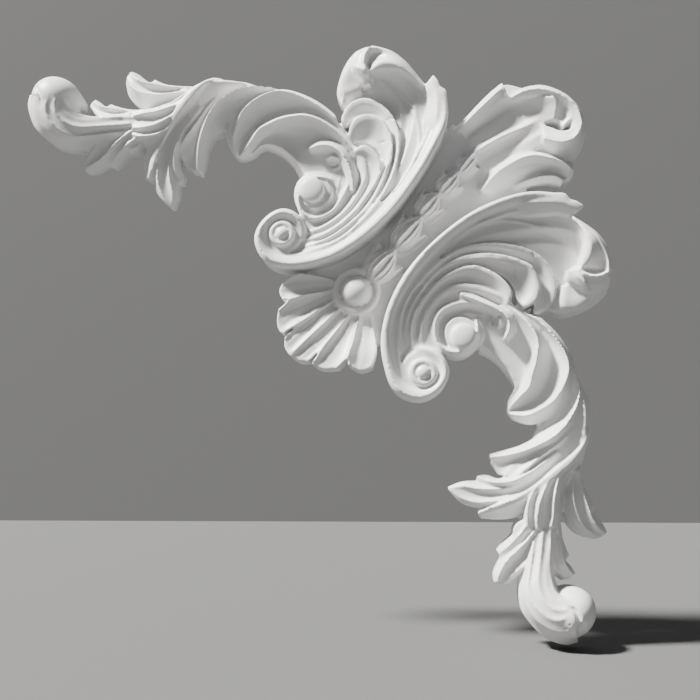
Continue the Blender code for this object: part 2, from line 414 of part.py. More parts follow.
def spline(points, count):
    """Return count places spaced evenly along a smooth line through the points."""
    p = np.array(points, float)
    p = np.vstack([2 * p[0] - p[1], p, 2 * p[-1] - p[-2]])
    fine = []
    for i in range(1, len(p) - 2):
        t = np.linspace(0.0, 1.0, 16, endpoint=False)[:, None]
        a, b, c, d = p[i - 1], p[i], p[i + 1], p[i + 2]
        fine.append(0.5 * (2 * b + (c - a) * t + (2 * a - 5 * b + 4 * c - d) * t ** 2
                           + (3 * b - a - 3 * c + d) * t ** 3))
    fine = np.vstack(fine + [p[-2:-1]])
    run = np.concatenate([[0.0], np.cumsum(np.linalg.norm(np.diff(fine[:, :2], axis=0), axis=1))])
    at = np.linspace(0.0, run[-1], count)
    return np.stack([np.interp(at, run, fine[:, k]) for k in range(3)], axis=1)


def settle(points):
    """Return the points moved the way their own arm departs from the mean of the two."""
    shift = np.zeros((len(points), 2))
    weight = np.full(len(points), 0.35)
    for u, v, du, dv in SETTLING:
        gap = (np.abs(points[:, 0]) - u) ** 2 + (points[:, 1] - v) ** 2
        near = np.exp(-gap / (2.0 * SETTLE_REACH ** 2))
        shift += near[:, None] * np.array((du, dv))
        weight += near
    shift /= weight[:, None]
    side = np.clip(points[:, 0] / 6.0, -1.0, 1.0)
    moved = points.copy()
    moved[:, 0] -= shift[:, 0] * np.abs(side)
    moved[:, 1] -= shift[:, 1] * side
    return moved


def surface(rails, sags, bow, along, across, crest=CREST):
    """Return the points of a carved surface drawn between rails."""
    lines = [spline(line, 81) for line in rails]
    place = np.linspace(0.0, 1.0, 81)
    rows = np.stack([[np.interp(along, place, line[:, k]) for k in range(3)] for line in lines])
    cells = len(rails) - 1
    cell = np.clip((across * cells).astype(int), 0, cells - 1)
    part = across * cells - cell
    pick = np.arange(len(along))
    near = rows[cell, :, pick]
    far = rows[cell + 1, :, pick]
    points = near + (far - near) * part[:, None]
    rise = far[:, 2] - near[:, 2]
    share = np.where(rise > 0.0, part ** crest, 1.0 - (1.0 - part) ** crest)
    hollow = np.array(sags * cells if len(sags) == 1 else sags)[cell]
    ends = ease(along / 0.12) * ease((1.0 - along) / 0.12)
    points[:, 2] = near[:, 2] + rise * share - hollow * np.sin(np.pi * part) * ends
    middle = lines[len(lines) // 2]
    way = (middle[-1] - middle[-5])[:2]
    way = way / max(np.linalg.norm(way), 1e-6)
    push = bow * (1.0 - (2.0 * across - 1.0) ** 2) * ease((along - 0.8) / 0.2)
    points[:, :2] += push[:, None] * way
    return points


def blade(bm, rails, sags=(0.0,), bow=0.0, side=1.0, crest=CREST, shift=0.0):
    """Add one closed blade: a carved top between rails, walls and an underside."""
    made = bmesh.ops.create_grid(bm, x_segments=ALONG, y_segments=ACROSS * (len(rails) - 1), size=1.0)
    faces = list({f for v in made["verts"] for f in v.link_faces})
    under = bmesh.ops.extrude_face_region(bm, geom=faces, use_keep_orig=True)
    below = [g for g in under["geom"] if isinstance(g, bmesh.types.BMVert)]
    for verts, top in ((made["verts"], True), (below, False)):
        net = np.array([(v.co.x, v.co.y) for v in verts]) * 0.5 + 0.5
        points = surface(rails, sags, bow, net[:, 0], net[:, 1], crest)
        if not top:
            first = surface(rails, (0.0,), 0.0, net[:, 0], np.zeros(len(net)))
            last = surface(rails, (0.0,), 0.0, net[:, 0], np.ones(len(net)))
            span = (last - first)[:, :2]
            span /= np.maximum(np.linalg.norm(span, axis=1), 1e-6)[:, None]
            reach = DRAFT * (points[:, 2] + BACK_DEPTH) * (2.0 * net[:, 1] - 1.0)
            points[:, :2] += span * reach[:, None]
            points[:, 2] = -BACK_DEPTH
        points[:, 0] = side * points[:, 0] + shift
        for vert, point in zip(verts, settle(points)):
            vert.co = point


def cord(bm, path, width, drop, side=1.0):
    """Add a rounded cord along a path, tapering to both ends."""
    top = spline(path, 24)
    way = np.gradient(top[:, :2], axis=0)
    way /= np.maximum(np.linalg.norm(way, axis=1), 1e-6)[:, None]
    place = np.linspace(0.0, 1.0, len(top))
    taper = 0.25 + 0.75 * ease(place / 0.15) * ease((1.0 - place) / 0.15)
    reach = (0.5 * width * taper)[:, None] * np.stack([-way[:, 1], way[:, 0]], axis=1)
    rails = []
    for sign in (1.0, 0.0, -1.0):
        line = top.copy()
        line[:, :2] += sign * reach
        line[:, 2] -= abs(sign) * drop
        rails.append(line)
    blade(bm, rails, side=side, crest=1.0)


def settled_place(u, v, side):
    """Return where the centre of a round member lies once the arms have settled."""
    return settle(np.array([(side * u, v, 0.0)]))[0][:2]


def dome(bm, u, v, radius, foot, top, side=1.0):
    """Add one flattened ball whose widest level is the foot."""
    x, y = settled_place(u, v, side)
    shape = Matrix.Translation((x, y, foot)) @ Matrix.Diagonal((radius, radius, top - foot, 1.0))
    bmesh.ops.create_uvsphere(bm, u_segments=28, v_segments=14, radius=1.0, matrix=shape)


def plate(bm, u, v, radius, top, side=1.0):
    """Add one round plate down past the back."""
    x, y = settled_place(u, v, side)
    deep = top + BACK_DEPTH
    at = Matrix.Translation((x, y, top - 0.5 * deep))
    bmesh.ops.create_cone(bm, cap_ends=True, segments=36, radius1=radius, radius2=radius, depth=deep,
                          matrix=at)


def ring(bm, u, v, radius, thick, top, side=1.0):
    """Add one ring of round section lying level."""
    x, y = settled_place(u, v, side)
    at = Matrix.Translation((x + radius, y, top - thick)) @ Matrix.Rotation(math.pi / 2, 4, "X")
    made = bmesh.ops.create_circle(bm, segments=10, radius=thick, matrix=at)
    edges = list({e for w in made["verts"] for e in w.link_edges})
    bmesh.ops.spin(bm, geom=edges, cent=(x, y, top - thick), axis=(0, 0, 1), angle=2 * math.pi,
                   steps=32, use_merge=True)


def husk(bm, base, tip, half, petal, spread, top, lean, side):
    """Add one husk of the stem: a veined bud and one flared petal on this side."""
    size = tip - base
    low = HUSK_FOOT
    bud = []
    for part, lift in ((1.0, -6.0), (0.9, -2.6), (0.72, -3.2), (0.5, -0.7), (0.3, -1.7), (0.0, 0.0)):
        bud.append((
            (0.4 * half * part, base, low + 0.3 * lift),
            (0.85 * half * part, base + 0.18 * size, top + lift - 2.0),
            (half * part, base + 0.42 * size, top + lift),
            (0.78 * half * part, base + 0.72 * size, top + 0.85 * lift),
            (0.12 * part, tip, top - 1.5 + 0.3 * lift),
        ))
    blade(bm, bud, side=side, shift=lean)
    blade(bm, (
        ((0.5 * half, base + 1.0, low - 1.0), (1.1 * half, base + 0.22 * size, low + 1.5),
         (1.35 * half, base + 0.5 * size, low + 2.5), (spread, petal, low + 3.5)),
        ((0.3 * half, base + 1.0, low), (0.95 * half, base + 0.25 * size, low + 3.5),
         (1.12 * half, base + 0.52 * size, low + 4.5), (spread - 0.5, petal - 0.3, low + 4.5)),
        ((0.0, base + 1.5, low), (0.5 * half, base + 0.4 * size, low + 2.5),
         (0.6 * half, base + 0.7 * size, low + 2.0), (spread - 1.6, petal - 0.8, low + 2.0)),
    ), side=side, shift=lean)


def half_relief(bm, side):
    """Add every member of one half."""
    blade(bm, FIELD, side=side)
    for rails, sags, bow in ARM_MEMBERS.values():
        blade(bm, rails, sags, bow, side)
    for u, v, radius, top in PLATES:
        plate(bm, u, v, radius, top, side)
    for u, v, radius, foot, top in DOMES:
        dome(bm, u, v, radius, foot, top, side)
        plate(bm, u, v, radius, foot, side)
    ring(bm, *VOLUTE_RING, side)
    cord(bm, EYE_RING, *EYE_RING_SIZE, side)
    for sizes in HUSKS:
        husk(bm, *sizes, side)


def middle_relief(bm):
    """Add the members that stand on the line of symmetry."""
    for rails, sags, bow in CREST_MEMBERS.values():
        blade(bm, rails, sags, bow)
    cord(bm, STALK, *STALK_SIZE)
    plate(bm, 0.0, 0.0, *COLLAR_PLATE)
    ring(bm, 0.0, 0.0, *COLLAR)
    plate(bm, 0.0, 0.0, BUTTON[0], BUTTON[1])
    dome(bm, 0.0, 0.0, *BUTTON)


def plan_to_frame():
    """Return the turn that takes plan millimetres to the shared frame in metres."""
    half = math.sqrt(0.5) * MM
    return Matrix(((half, half, 0.0, 0.0), (0.0, 0.0, -MM, 0.0), (-half, half, 0.0, 0.0),
                   (0.0, 0.0, 0.0, 1.0)))


def trim_block(tools):
    """Return the block that keeps what stands in front of the back."""
    mesh = bpy.data.meshes.new("trim_block")
    bm = bmesh.new()
    at = Matrix.Translation((0.0, -0.5 * SPAN * MM, 0.0))
    bmesh.ops.create_cube(bm, size=SPAN * MM, matrix=at)
    bm.to_mesh(mesh)
    bm.free()
    block = bpy.data.objects.new("trim_block", mesh)
    block.hide_render = True
    block.display_type = "WIRE"
    tools.objects.link(block)
    return block


def resin():
    """Return the white primed resin of the applique."""
    paint = bpy.data.materials.new("white_primed_resin")
    paint.use_nodes = True
    shader = paint.node_tree.nodes["Principled BSDF"]
    shader.inputs["Base Color"].default_value = (0.80, 0.80, 0.78, 1.0)
    shader.inputs["Roughness"].default_value = 0.45
    return paint


def build():
    """Build the applique as one closed body."""
    clear_scene()
    body = bpy.data.collections.new("floral corner applique")
    tools = bpy.data.collections.new("cutters")
    for group in (body, tools):
        bpy.context.scene.collection.children.link(group)

    bm = bmesh.new()
    for side in (-1.0, 1.0):
        half_relief(bm, side)
    middle_relief(bm)
    bmesh.ops.recalc_face_normals(bm, faces=bm.faces)
    bmesh.ops.transform(bm, matrix=plan_to_frame(), verts=bm.verts)
    mesh = bpy.data.meshes.new("corner_applique")
    bm.to_mesh(mesh)
    bm.free()
    relief = bpy.data.objects.new("corner_applique", mesh)
    body.objects.link(relief)

    fuse = relief.modifiers.new("fuse", "REMESH")
    fuse.mode = "VOXEL"
    fuse.voxel_size = VOXEL * MM
    bpy.context.view_layer.update()
    graph = bpy.context.evaluated_depsgraph_get()
    count = len(relief.evaluated_get(graph).data.polygons) * 2
    facet = relief.modifiers.new("facet", "DECIMATE")
    facet.ratio = min(1.0, TARGET / count)
    cut = relief.modifiers.new("flat back", "BOOLEAN")
    cut.operation = "INTERSECT"
    cut.solver = "EXACT"
    cut.object = trim_block(tools)
    relief.data.materials.append(resin())


build()
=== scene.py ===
"""A floral corner applique of white primed resin, carved as one casting, on a plain pale stage.

The casting is modelled in its plan: u runs across the corner, v along its axis of symmetry and
h straight out of the back. It is turned into the shared frame once it is whole.
"""
import json
import logging
import math
from dataclasses import dataclass, field
from enum import Enum

import bpy
import numpy as np
from mathutils import Matrix, Vector

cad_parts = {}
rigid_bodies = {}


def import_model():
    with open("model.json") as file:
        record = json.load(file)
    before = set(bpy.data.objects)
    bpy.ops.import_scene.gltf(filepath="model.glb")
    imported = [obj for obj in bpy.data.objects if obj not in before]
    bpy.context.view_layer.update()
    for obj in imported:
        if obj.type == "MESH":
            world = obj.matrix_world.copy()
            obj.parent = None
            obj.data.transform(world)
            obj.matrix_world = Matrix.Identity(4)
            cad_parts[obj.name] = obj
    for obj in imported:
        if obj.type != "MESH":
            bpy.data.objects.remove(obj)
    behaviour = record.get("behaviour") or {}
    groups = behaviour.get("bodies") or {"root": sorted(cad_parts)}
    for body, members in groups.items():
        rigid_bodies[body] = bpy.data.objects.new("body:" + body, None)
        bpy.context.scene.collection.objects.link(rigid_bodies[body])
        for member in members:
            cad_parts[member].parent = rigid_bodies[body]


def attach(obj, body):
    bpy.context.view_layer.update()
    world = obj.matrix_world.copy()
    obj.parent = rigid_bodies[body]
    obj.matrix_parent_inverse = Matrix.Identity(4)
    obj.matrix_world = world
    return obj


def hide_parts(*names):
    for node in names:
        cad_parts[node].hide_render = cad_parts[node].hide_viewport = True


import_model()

MM = 0.001
log = logging.getLogger("corner applique")

Point = tuple[float, float, float]
Rail = tuple[Point, ...]


class Side(Enum):
    """The two arms of the corner."""

    LEFT = -1.0
    RIGHT = 1.0


class Cut(Enum):
    """How a carved line meets the surface around it."""

    GROOVE = -1.0
    RIDGE = 1.0


def spline(points: Rail, count: int) -> np.ndarray:
    """Draw a smooth curve through the points and divide it evenly.

    Args:
        points: plan points with their heights, in millimetres.
        count: number of stations wanted.

    Returns:
        An array of count rows with u, v and h.
    """
    knots = np.array(points, dtype=float)
    if len(knots) == 2:
        return knots[0] + np.linspace(0.0, 1.0, count)[:, None] * (knots[1] - knots[0])
    gaps = np.maximum(np.linalg.norm(np.diff(knots[:, :2], axis=0), axis=1), 1e-3)
    at = np.concatenate(([0.0], np.cumsum(gaps)))
    slopes = np.diff(knots, axis=0) / gaps[:, None]
    tangents = np.empty_like(knots)
    tangents[0], tangents[-1] = slopes[0], slopes[-1]
    before, after = gaps[:-1, None], gaps[1:, None]
    tangents[1:-1] = (slopes[:-1] * after + slopes[1:] * before) / (before + after)
    dense = np.linspace(0.0, at[-1], 12 * len(knots))
    cell = np.clip(np.searchsorted(at, dense, side="right") - 1, 0, len(gaps) - 1)
    width = gaps[cell][:, None]
    x = ((dense - at[cell]) / gaps[cell])[:, None]
    curve = ((2 * x**3 - 3 * x**2 + 1) * knots[cell] + (x**3 - 2 * x**2 + x) * width * tangents[cell]
             + (3 * x**2 - 2 * x**3) * knots[cell + 1] + (x**3 - x**2) * width * tangents[cell + 1])
    run = np.concatenate(([0.0], np.cumsum(np.linalg.norm(np.diff(curve[:, :2], axis=0), axis=1))))
    stations = np.linspace(0.0, run[-1], count)
    return np.stack([np.interp(stations, run, curve[:, axis]) for axis in range(3)], axis=1)


def ease(x: np.ndarray) -> np.ndarray:
    """Run softly from 0 to 1 while x does."""
    x = np.clip(x, 0.0, 1.0)
    return x * x * (3.0 - 2.0 * x)


@dataclass(frozen=True)
class Blade:
    """A carved member whose surface is drawn between rails that run along it.

    Attributes:
        rails: the lines of the member, from one edge to the other.
        sags: how far the surface between each pair of rails is hollowed.
        bow: how far the middle of the far end stands out past its corners.
        edge: 0 for rounded crests; else how sharply the flanks rise to them.
    """

    rails: tuple[Rail, ...]
    sags: tuple[float, ...] = (0.0,)
    bow: float = 0.0
    edge: float = 1.55

    def surface(self, along: np.ndarray, across: np.ndarray) -> np.ndarray:
        """Give the points of the surface.

        Args:
            along: position along the rails, 0 to 1.
            across: position from the first rail to the last, 0 to 1.

        Returns:
            An array of plan points with heights.
        """
        count = 121
        lines = [spline(rail, count) for rail in self.rails]
        place = np.linspace(0.0, 1.0, count)
        rows = np.stack([[np.interp(along, place, line[:, axis]) for axis in range(3)] for line in lines])
        cells = len(self.rails) - 1
        cell = np.clip((across * cells).astype(int), 0, cells - 1)
        part = across * cells - cell
        pick = np.arange(len(along))
        near, far = rows[cell, :, pick], rows[cell + 1, :, pick]
        points = near + (far - near) * part[:, None]
        rise = far[:, 2] - near[:, 2]
        share = ease(part)
        if self.edge:
            share = np.where(rise > 0.0, part ** self.edge, 1.0 - (1.0 - part) ** self.edge)
        points[:, 2] = near[:, 2] + rise * share
        hollow = np.array(self.sags if len(self.sags) == cells else self.sags * cells)[cell]
        ends = ease(along / 0.12) * ease((1.0 - along) / 0.12)
        points[:, 2] -= hollow * np.sin(np.pi * part) * ends
        if self.bow:
            middle = lines[len(lines) // 2]
            way = middle[-1, :2] - middle[-6, :2]
            way /= max(float(np.linalg.norm(way)), 1e-6)
            push = self.bow * (1.0 - (2.0 * across - 1.0) ** 2) * ease((along - 0.8) / 0.2)
            points[:, :2] += push[:, None] * way
        return points

    @classmethod
    def cord(cls, path: Rail, width: float, drop: float) -> "Blade":
        """Make a rounded cord that follows a path.

        Args:
            path: the top of the cord.
            width: its breadth.
            drop: how far its edges lie under its top.

        Returns:
            The blade of the cord.
        """
        top = spline(path, 40)
        way = np.gradient(top[:, :2], axis=0)
        way /= np.maximum(np.linalg.norm(way, axis=1), 1e-6)[:, None]
        place = np.linspace(0.0, 1.0, len(top))
        taper = 0.25 + 0.75 * ease(place / 0.15) * ease((1.0 - place) / 0.15)
        reach = (0.5 * width * taper)[:, None] * np.stack([-way[:, 1], way[:, 0]], axis=1)
        edges = []
        for sign in (1.0, 0.0, -1.0):
            edge = top.copy()
            edge[:, :2] += sign * reach
            edge[:, 2] -= abs(sign) * drop
            edges.append(tuple(map(tuple, edge)))
        return cls(tuple(edges), (0.0,), 0.0, 0.0)


class Carved:
    """An assembly whose blades are its fields, from the ground up."""

    def blades(self) -> list[Blade]:
        """List the blades."""
        return [part for part in vars(self).values() if isinstance(part, Blade)]

    def build(self, bench: "Workbench", side: float = 1.0) -> list[bpy.types.Object]:
        """Make every blade.

        Args:
            bench: what the members are made on.
            side: -1 or 1, the arm they are for.

        Returns:
            The new objects.
        """
        return [bench.sweep(blade, side) for blade in self.blades()]


@dataclass(frozen=True)
class Mound:
    """A round member: a disc up to its foot and, where it has one, a dome on that."""

    u: float
    v: float
    radius: float
    foot: float
    top: float = 0.0
    stand: float = 1.0

    def build(self, bench: "Workbench", side: float = 1.0) -> list[bpy.types.Object]:
        """Make the disc and the dome."""
        made = [bench.disc(side * self.u, self.v, self.stand * self.radius, self.foot)]
        if self.top:
            made.append(bench.dome(side * self.u, self.v, self.radius, self.foot, self.top))
        return made


class Workbench:
    """The blank slab and the simple tools that every member is made with."""

    STATIONS = 110
    ROWS = 44
    UNDERSIDE = -2.0

    def __init__(self) -> None:
        """Make the blank slab."""
        clear_selection()
        bpy.ops.mesh.primitive_grid_add(x_subdivisions=self.STATIONS, y_subdivisions=self.ROWS, size=1.0)
        self.blank = bpy.context.object
        self.blank.name = "blank slab"
        solid = self.blank.modifiers.new("thickness", "SOLIDIFY")
        solid.thickness = 0.2
        solid.offset = -1.0
        bpy.ops.object.modifier_apply(modifier=solid.name)
        self.net = read_points(self.blank.data)

    def sweep(self, blade: Blade, side: float = 1.0) -> bpy.types.Object:
        """Bend a copy of the blank slab to a blade.

        Args:
            blade: the member to make.
            side: -1 or 1, the arm it is for.

        Returns:
            The new object.
        """
        piece = self.blank.copy()
        piece.data = self.blank.data.copy()
        bpy.context.collection.objects.link(piece)
        along = np.clip(self.net[:, 0] + 0.5, 0.0, 1.0)
        across = np.clip(self.net[:, 1] + 0.5, 0.0, 1.0)
        points = blade.surface(along, across)
        points[self.net[:, 2] < -0.1, 2] = self.UNDERSIDE
        points[:, 0] *= side
        write_points(piece.data, points * MM)
        return piece

    def disc(self, u: float, v: float, radius: float, top: float) -> bpy.types.Object:
        """Stand a plain round disc on the back."""
        depth = top - self.UNDERSIDE
        middle = (u * MM, v * MM, (self.UNDERSIDE + 0.5 * depth) * MM)
        bpy.ops.mesh.primitive_cylinder_add(vertices=64, radius=radius * MM, depth=depth * MM,
                                            location=middle)
        return bpy.context.object

    def dome(self, u: float, v: float, radius: float, foot: float, top: float) -> bpy.types.Object:
        """Stand a domed disc on the back, its edge at the foot height."""
        bpy.ops.mesh.primitive_uv_sphere_add(segments=64, ring_count=32, radius=radius * MM,
                                             location=(u * MM, v * MM, foot * MM))
        ball = bpy.context.object
        ball.scale = (1.0, 1.0, (top - foot) / radius)
        return ball

    def ring(self, u: float, v: float, radius: float, thick: float, top: float) -> bpy.types.Object:
        """Lay a ring whose rounded top is at the given height."""
        bpy.ops.mesh.primitive_torus_add(major_segments=96, minor_segments=20, major_radius=radius * MM,
                                         minor_radius=thick * MM,
                                         location=(u * MM, v * MM, (top - thick) * MM))
        return bpy.context.object

    def put_away(self) -> None:
        """Remove the blank slab."""
        mesh = self.blank.data
        bpy.data.objects.remove(self.blank)
        bpy.data.meshes.remove(mesh)


def clear_selection() -> None:
    """Deselect every object."""
    for item in bpy.context.view_layer.objects:
        item.select_set(False)


def read_points(mesh: bpy.types.Mesh) -> np.ndarray:
    """Read the vertex positions of a mesh."""
    flat = np.empty(len(mesh.vertices) * 3, dtype=np.float32)
    mesh.vertices.foreach_get("co", flat)
    return flat.reshape(-1, 3).astype(float)


def write_points(mesh: bpy.types.Mesh, points: np.ndarray) -> None:
    """Write the vertex positions of a mesh."""
    mesh.vertices.foreach_set("co", points.astype(np.float32).ravel())
    mesh.update()


@dataclass(frozen=True)
class Scroll(Carved):
    """The C-scroll of one arm: rim, flutes, volute and big eye."""

    volute_ring: tuple[float, float, float] = (5.4, 1.3, 21.4)
    eye_ring: Rail = (
        (49.5, 38.5, 18.5), (43.5, 35, 19), (39.5, 28, 19.2), (38, 21, 19.2), (40.5, 14, 19),
        (44.5, 10, 19), (49, 9, 19), (56, 12, 19), (59.5, 17, 19), (60, 22, 19), (57.5, 27, 19),
        (55, 29.5, 18.8), (52, 31.5, 18),
    )
    eye_ring_size: tuple[float, float] = (3.4, 2.4)
    volute: Mound = Mound(50.5, -6.5, 10.5, 18.6)
    volute_button: Mound = Mound(50.5, -6.5, 3.8, 19.0, 22.6)
    eye_plate: Mound = Mound(51, 21, 12.5, 15.2)
    ledge: Mound = Mound(52, 21, 8.3, 17.6)
    pupil: Mound = Mound(54, 20.5, 6.3, 19.6, 21.4)
    rim: Blade = Blade((
        ((40, 106, 21.5), (29, 96, 24), (19, 76, 26), (14, 55, 26), (12.5, 37.5, 25.5), (14, 18.5, 24),
         (21, -1, 22), (33, -16, 21), (48, -23, 20.5), (59.5, -17.5, 20.5), (63, -6, 20.5),
         (59.5, 3, 20.5), (51.5, 6.5, 20), (44.5, 5, 19), (39.5, 1, 17.5)),
        ((41, 103.5, 22.5), (30, 95, 25), (20.5, 75.5, 27.2), (15, 54.5, 27.2), (13.5, 37.5, 26.8),
         (15.5, 18, 25.2), (22, -0.5, 23.2), (33.5, -14, 22.3), (48, -21, 22.2), (58, -16.5, 22.2),
         (61, -6.5, 22.2), (58, 1.5, 22), (51, 4.5, 21.5), (44.5, 3, 20), (40, -1, 18)),
        ((43, 101.5, 21.5), (32.5, 93.5, 23.8), (22.5, 74.5, 26), (17.5, 55, 26.2), (16.5, 37.5, 25.7),
         (18, 18.5, 24.3), (24.5, 0, 22.3), (35.5, -12, 21), (48, -18, 20.8), (56, -14.5, 20.8),
         (59, -6, 20.6), (56.5, 0.5, 20.3), (51, 3, 19.8), (46.5, 1.5, 19), (42, -2.5, 17.8)),
        ((46.5, 99, 20), (37, 91, 21.5), (26.5, 73.5, 24), (21, 55.5, 24.3), (20, 38, 23.8),
         (21.5, 18.5, 22.5), (28.5, 1, 20.5), (37, -8.5, 19.3), (48, -15, 19), (54.5, -12.5, 19),
         (57, -5.5, 19), (55, -0.5, 18.8), (51, 1, 18.3), (48, 0, 17.5), (44.5, -3.5, 17)),
    ), (0.0, -0.2, 0.7))
    bed: Blade = Blade((
        ((24, 4, 14), (20.5, 21.5, 14.5), (19.5, 41.5, 15), (22, 59.5, 15), (28, 76.5, 14.5),
         (38, 89.5, 13.5), (50, 94, 12.5)),
        ((36, 4, 14), (31, 21.5, 14.5), (31, 41.5, 15), (36, 55.5, 14.5), (44, 68, 13), (54, 76, 12),
         (62, 78, 11.5)),
        ((46, 8, 14), (42, 21.5, 14.5), (43, 39.5, 14.5), (50, 50, 13), (58, 58, 12), (66, 66, 11),
         (74, 70.5, 10.5)),
    ))
    floor: Blade = Blade((
        ((24.5, 8.5, 17), (30.5, -1.5, 17), (37.5, -10, 17), (45.5, -16.5, 17.5)),
        ((36.5, 14.5, 16), (43.5, 9.5, 16.5), (49.5, 8, 17), (54.5, 3.5, 17.5)),
    ))
    lobe_three: Blade = Blade((
        ((37, -7.5, 17.6), (29, -0.5, 20.3), (23, 11.5, 22.3), (21, 28, 23.5), (22.5, 46, 24),
         (30, 60.5, 22.5), (37, 68.5, 21), (46, 75, 19.5), (54, 77.5, 18.5), (62, 77, 17.5),
         (70, 73, 16.5), (74, 65, 15.5), (73, 58.5, 14)),
        ((37, -6.5, 17.7), (30, 1, 20.2), (24, 12, 22), (22, 28, 23.2), (24, 45.5, 23.7),
         (31, 59.5, 22.2), (38.5, 67, 20.6), (47, 73, 19), (54.5, 75.5, 18), (61.5, 75, 17),
         (68.5, 71.5, 16), (72, 65, 15), (71, 58.5, 13.7)),
        ((37.5, -5.5, 17.2), (31, 2.5, 19), (26, 12.5, 20), (24.5, 28.5, 20.8), (28, 45, 20.8),
         (37.5, 61.5, 18), (45.5, 68, 16.8), (51.5, 70, 16), (57.5, 69.5, 15.3), (62.5, 67, 14.8),
         (65.5, 63.5, 14.3), (67, 60.5, 13.8), (68, 57.5, 13.5)),
    ), (0.0, 1.5), 2.5)
    lobe_two: Blade = Blade((
        ((36.5, -3.5, 17.5), (28.5, 7, 20.6), (24.5, 20.5, 22), (24.5, 40, 22.9), (30, 53, 22.8),
         (37, 62, 22), (46, 68.5, 21), (53.5, 71, 20.3), (60, 69, 19.5), (65, 64.5, 18.8), (66, 58, 18),
         (63, 52, 16.5)),
        ((36.5, -2.5, 17.6), (29, 8, 20.4), (25.5, 21, 21.8), (26, 39, 22.7), (31.5, 51.5, 22.5),
         (38, 60, 21.6), (46.5, 66.5, 20.5), (53.5, 69, 19.8), (59, 67.5, 19), (63, 63.5, 18.3),
         (64, 58.5, 17.5), (61.5, 52.5, 16)),
        ((37, -1.5, 17), (31, 8.5, 19), (27.5, 21, 19.8), (28.5, 38.5, 20), (34.5, 52, 19),
         (39.5, 55, 18), (44.5, 57.5, 17.3), (48.5, 58, 16.8), (51.5, 57.5, 16.2), (54.5, 56.5, 15.6),
         (57, 55, 15.2), (59, 53.5, 15)),
    ), (0.0, 1.6), 2.5)
    lobe_one: Blade = Blade((
        ((38.5, -1, 17.4), (31.5, 7.5, 19.8), (27.5, 20.5, 21), (28, 36, 21.8), (34, 50.5, 22.2),
         (43.5, 55.5, 22), (50, 55.5, 21.7), (54.5, 53.5, 21.2), (55.5, 51, 20)),
        ((39, 0, 17.5), (32.5, 8.5, 19.7), (29, 21, 20.9), (29.5, 35.5, 21.6), (35, 49, 21.8),
         (44, 53.5, 21.4), (49.5, 53.5, 21), (53, 52, 20.5), (54, 50, 19.3)),
        ((41, 2, 16.8), (35, 10, 18), (32, 21, 18.6), (34, 35.5, 18.8), (40.5, 44, 18.8), (47, 47, 18.5),
         (49.5, 48, 18.3), (51, 48.5, 18), (52.5, 49, 17.8)),
    ), (0.0, 1.2), 1.6)
    eye_band: Blade = Blade((
        ((40, 2, 17), (33.5, 13, 18.7), (31.5, 23, 19.5), (33, 35.5, 19.7), (41.5, 45.5, 19.5),
         (49, 49.5, 19), (57, 51.5, 18.5)),
        ((41.5, 3, 17.2), (35, 13.5, 18.8), (33, 23, 19.4), (35, 34.5, 19.6), (42.5, 43.5, 19.3),
         (49.5, 47.5, 18.8), (57.5, 50, 18.5)),
        ((44, 5.5, 16), (39, 14, 16.5), (37, 22.5, 16.8), (39, 32, 16.8), (44.5, 39, 16.5),
         (50.5, 42.5, 16), (57.5, 46, 16)),
    ), (0.0, 1))
    eye_floor: Blade = Blade((
        ((44.5, 7.5, 15), (39.5, 14.5, 15.3), (38, 22.5, 15.5), (39.5, 31.5, 15.5), (45.5, 39, 15),
         (53, 42.5, 14), (60, 44, 13)),
        ((53.5, 13.5, 15), (53.5, 16.5, 15), (53.5, 20.5, 15), (55.5, 24.5, 15), (58.5, 28.5, 14),
         (63, 33, 13), (68, 36, 12.5)),
    ))
    leaflet: Blade = Blade((
        ((72, 35, 16), (71, 40, 17), (67.5, 44.5, 17.5), (61.5, 46.5, 18), (54.5, 45.5, 18.5),
         (46.5, 42.5, 18.5), (38, 38, 18)),
        ((70, 34.5, 19), (67.5, 39, 21.5), (63, 42.5, 22.5), (57.5, 43, 22.8), (51.5, 41.5, 22.5),
         (45, 38.5, 21.5), (38, 34.5, 20)),
        ((70, 34.5, 16), (66, 38.5, 17), (62, 40.5, 17.5), (58, 40.5, 18), (53, 39, 18), (47, 36.5, 17.5),
         (40.5, 32, 17)),
    ), (-0.6, 0.3))
    leaflet_tip: Blade = Blade((
        ((63, 37.5, 15.5), (63, 41, 16), (61.5, 43, 15), (59, 43.5, 13)),
        ((61.5, 37, 18), (60.5, 39.5, 20), (58, 40.5, 19.3), (55.5, 41, 15)),
        ((61.5, 37.5, 15.5), (60, 39, 16), (57.5, 39.5, 15), (54.5, 39, 13)),
    ), (0.2, 0.2))

    def build(self, bench: Workbench, side: float) -> list[bpy.types.Object]:
        """Make the members of one C-scroll."""
        made = super().build(bench, side)
        for mound in (self.volute, self.volute_button, self.eye_plate, self.ledge, self.pupil):
            made += mound.build(bench, side)
        made.append(bench.ring(side * self.volute.u, self.volute.v, *self.volute_ring))
        made.append(bench.sweep(Blade.cord(self.eye_ring, *self.eye_ring_size), side))
        return made


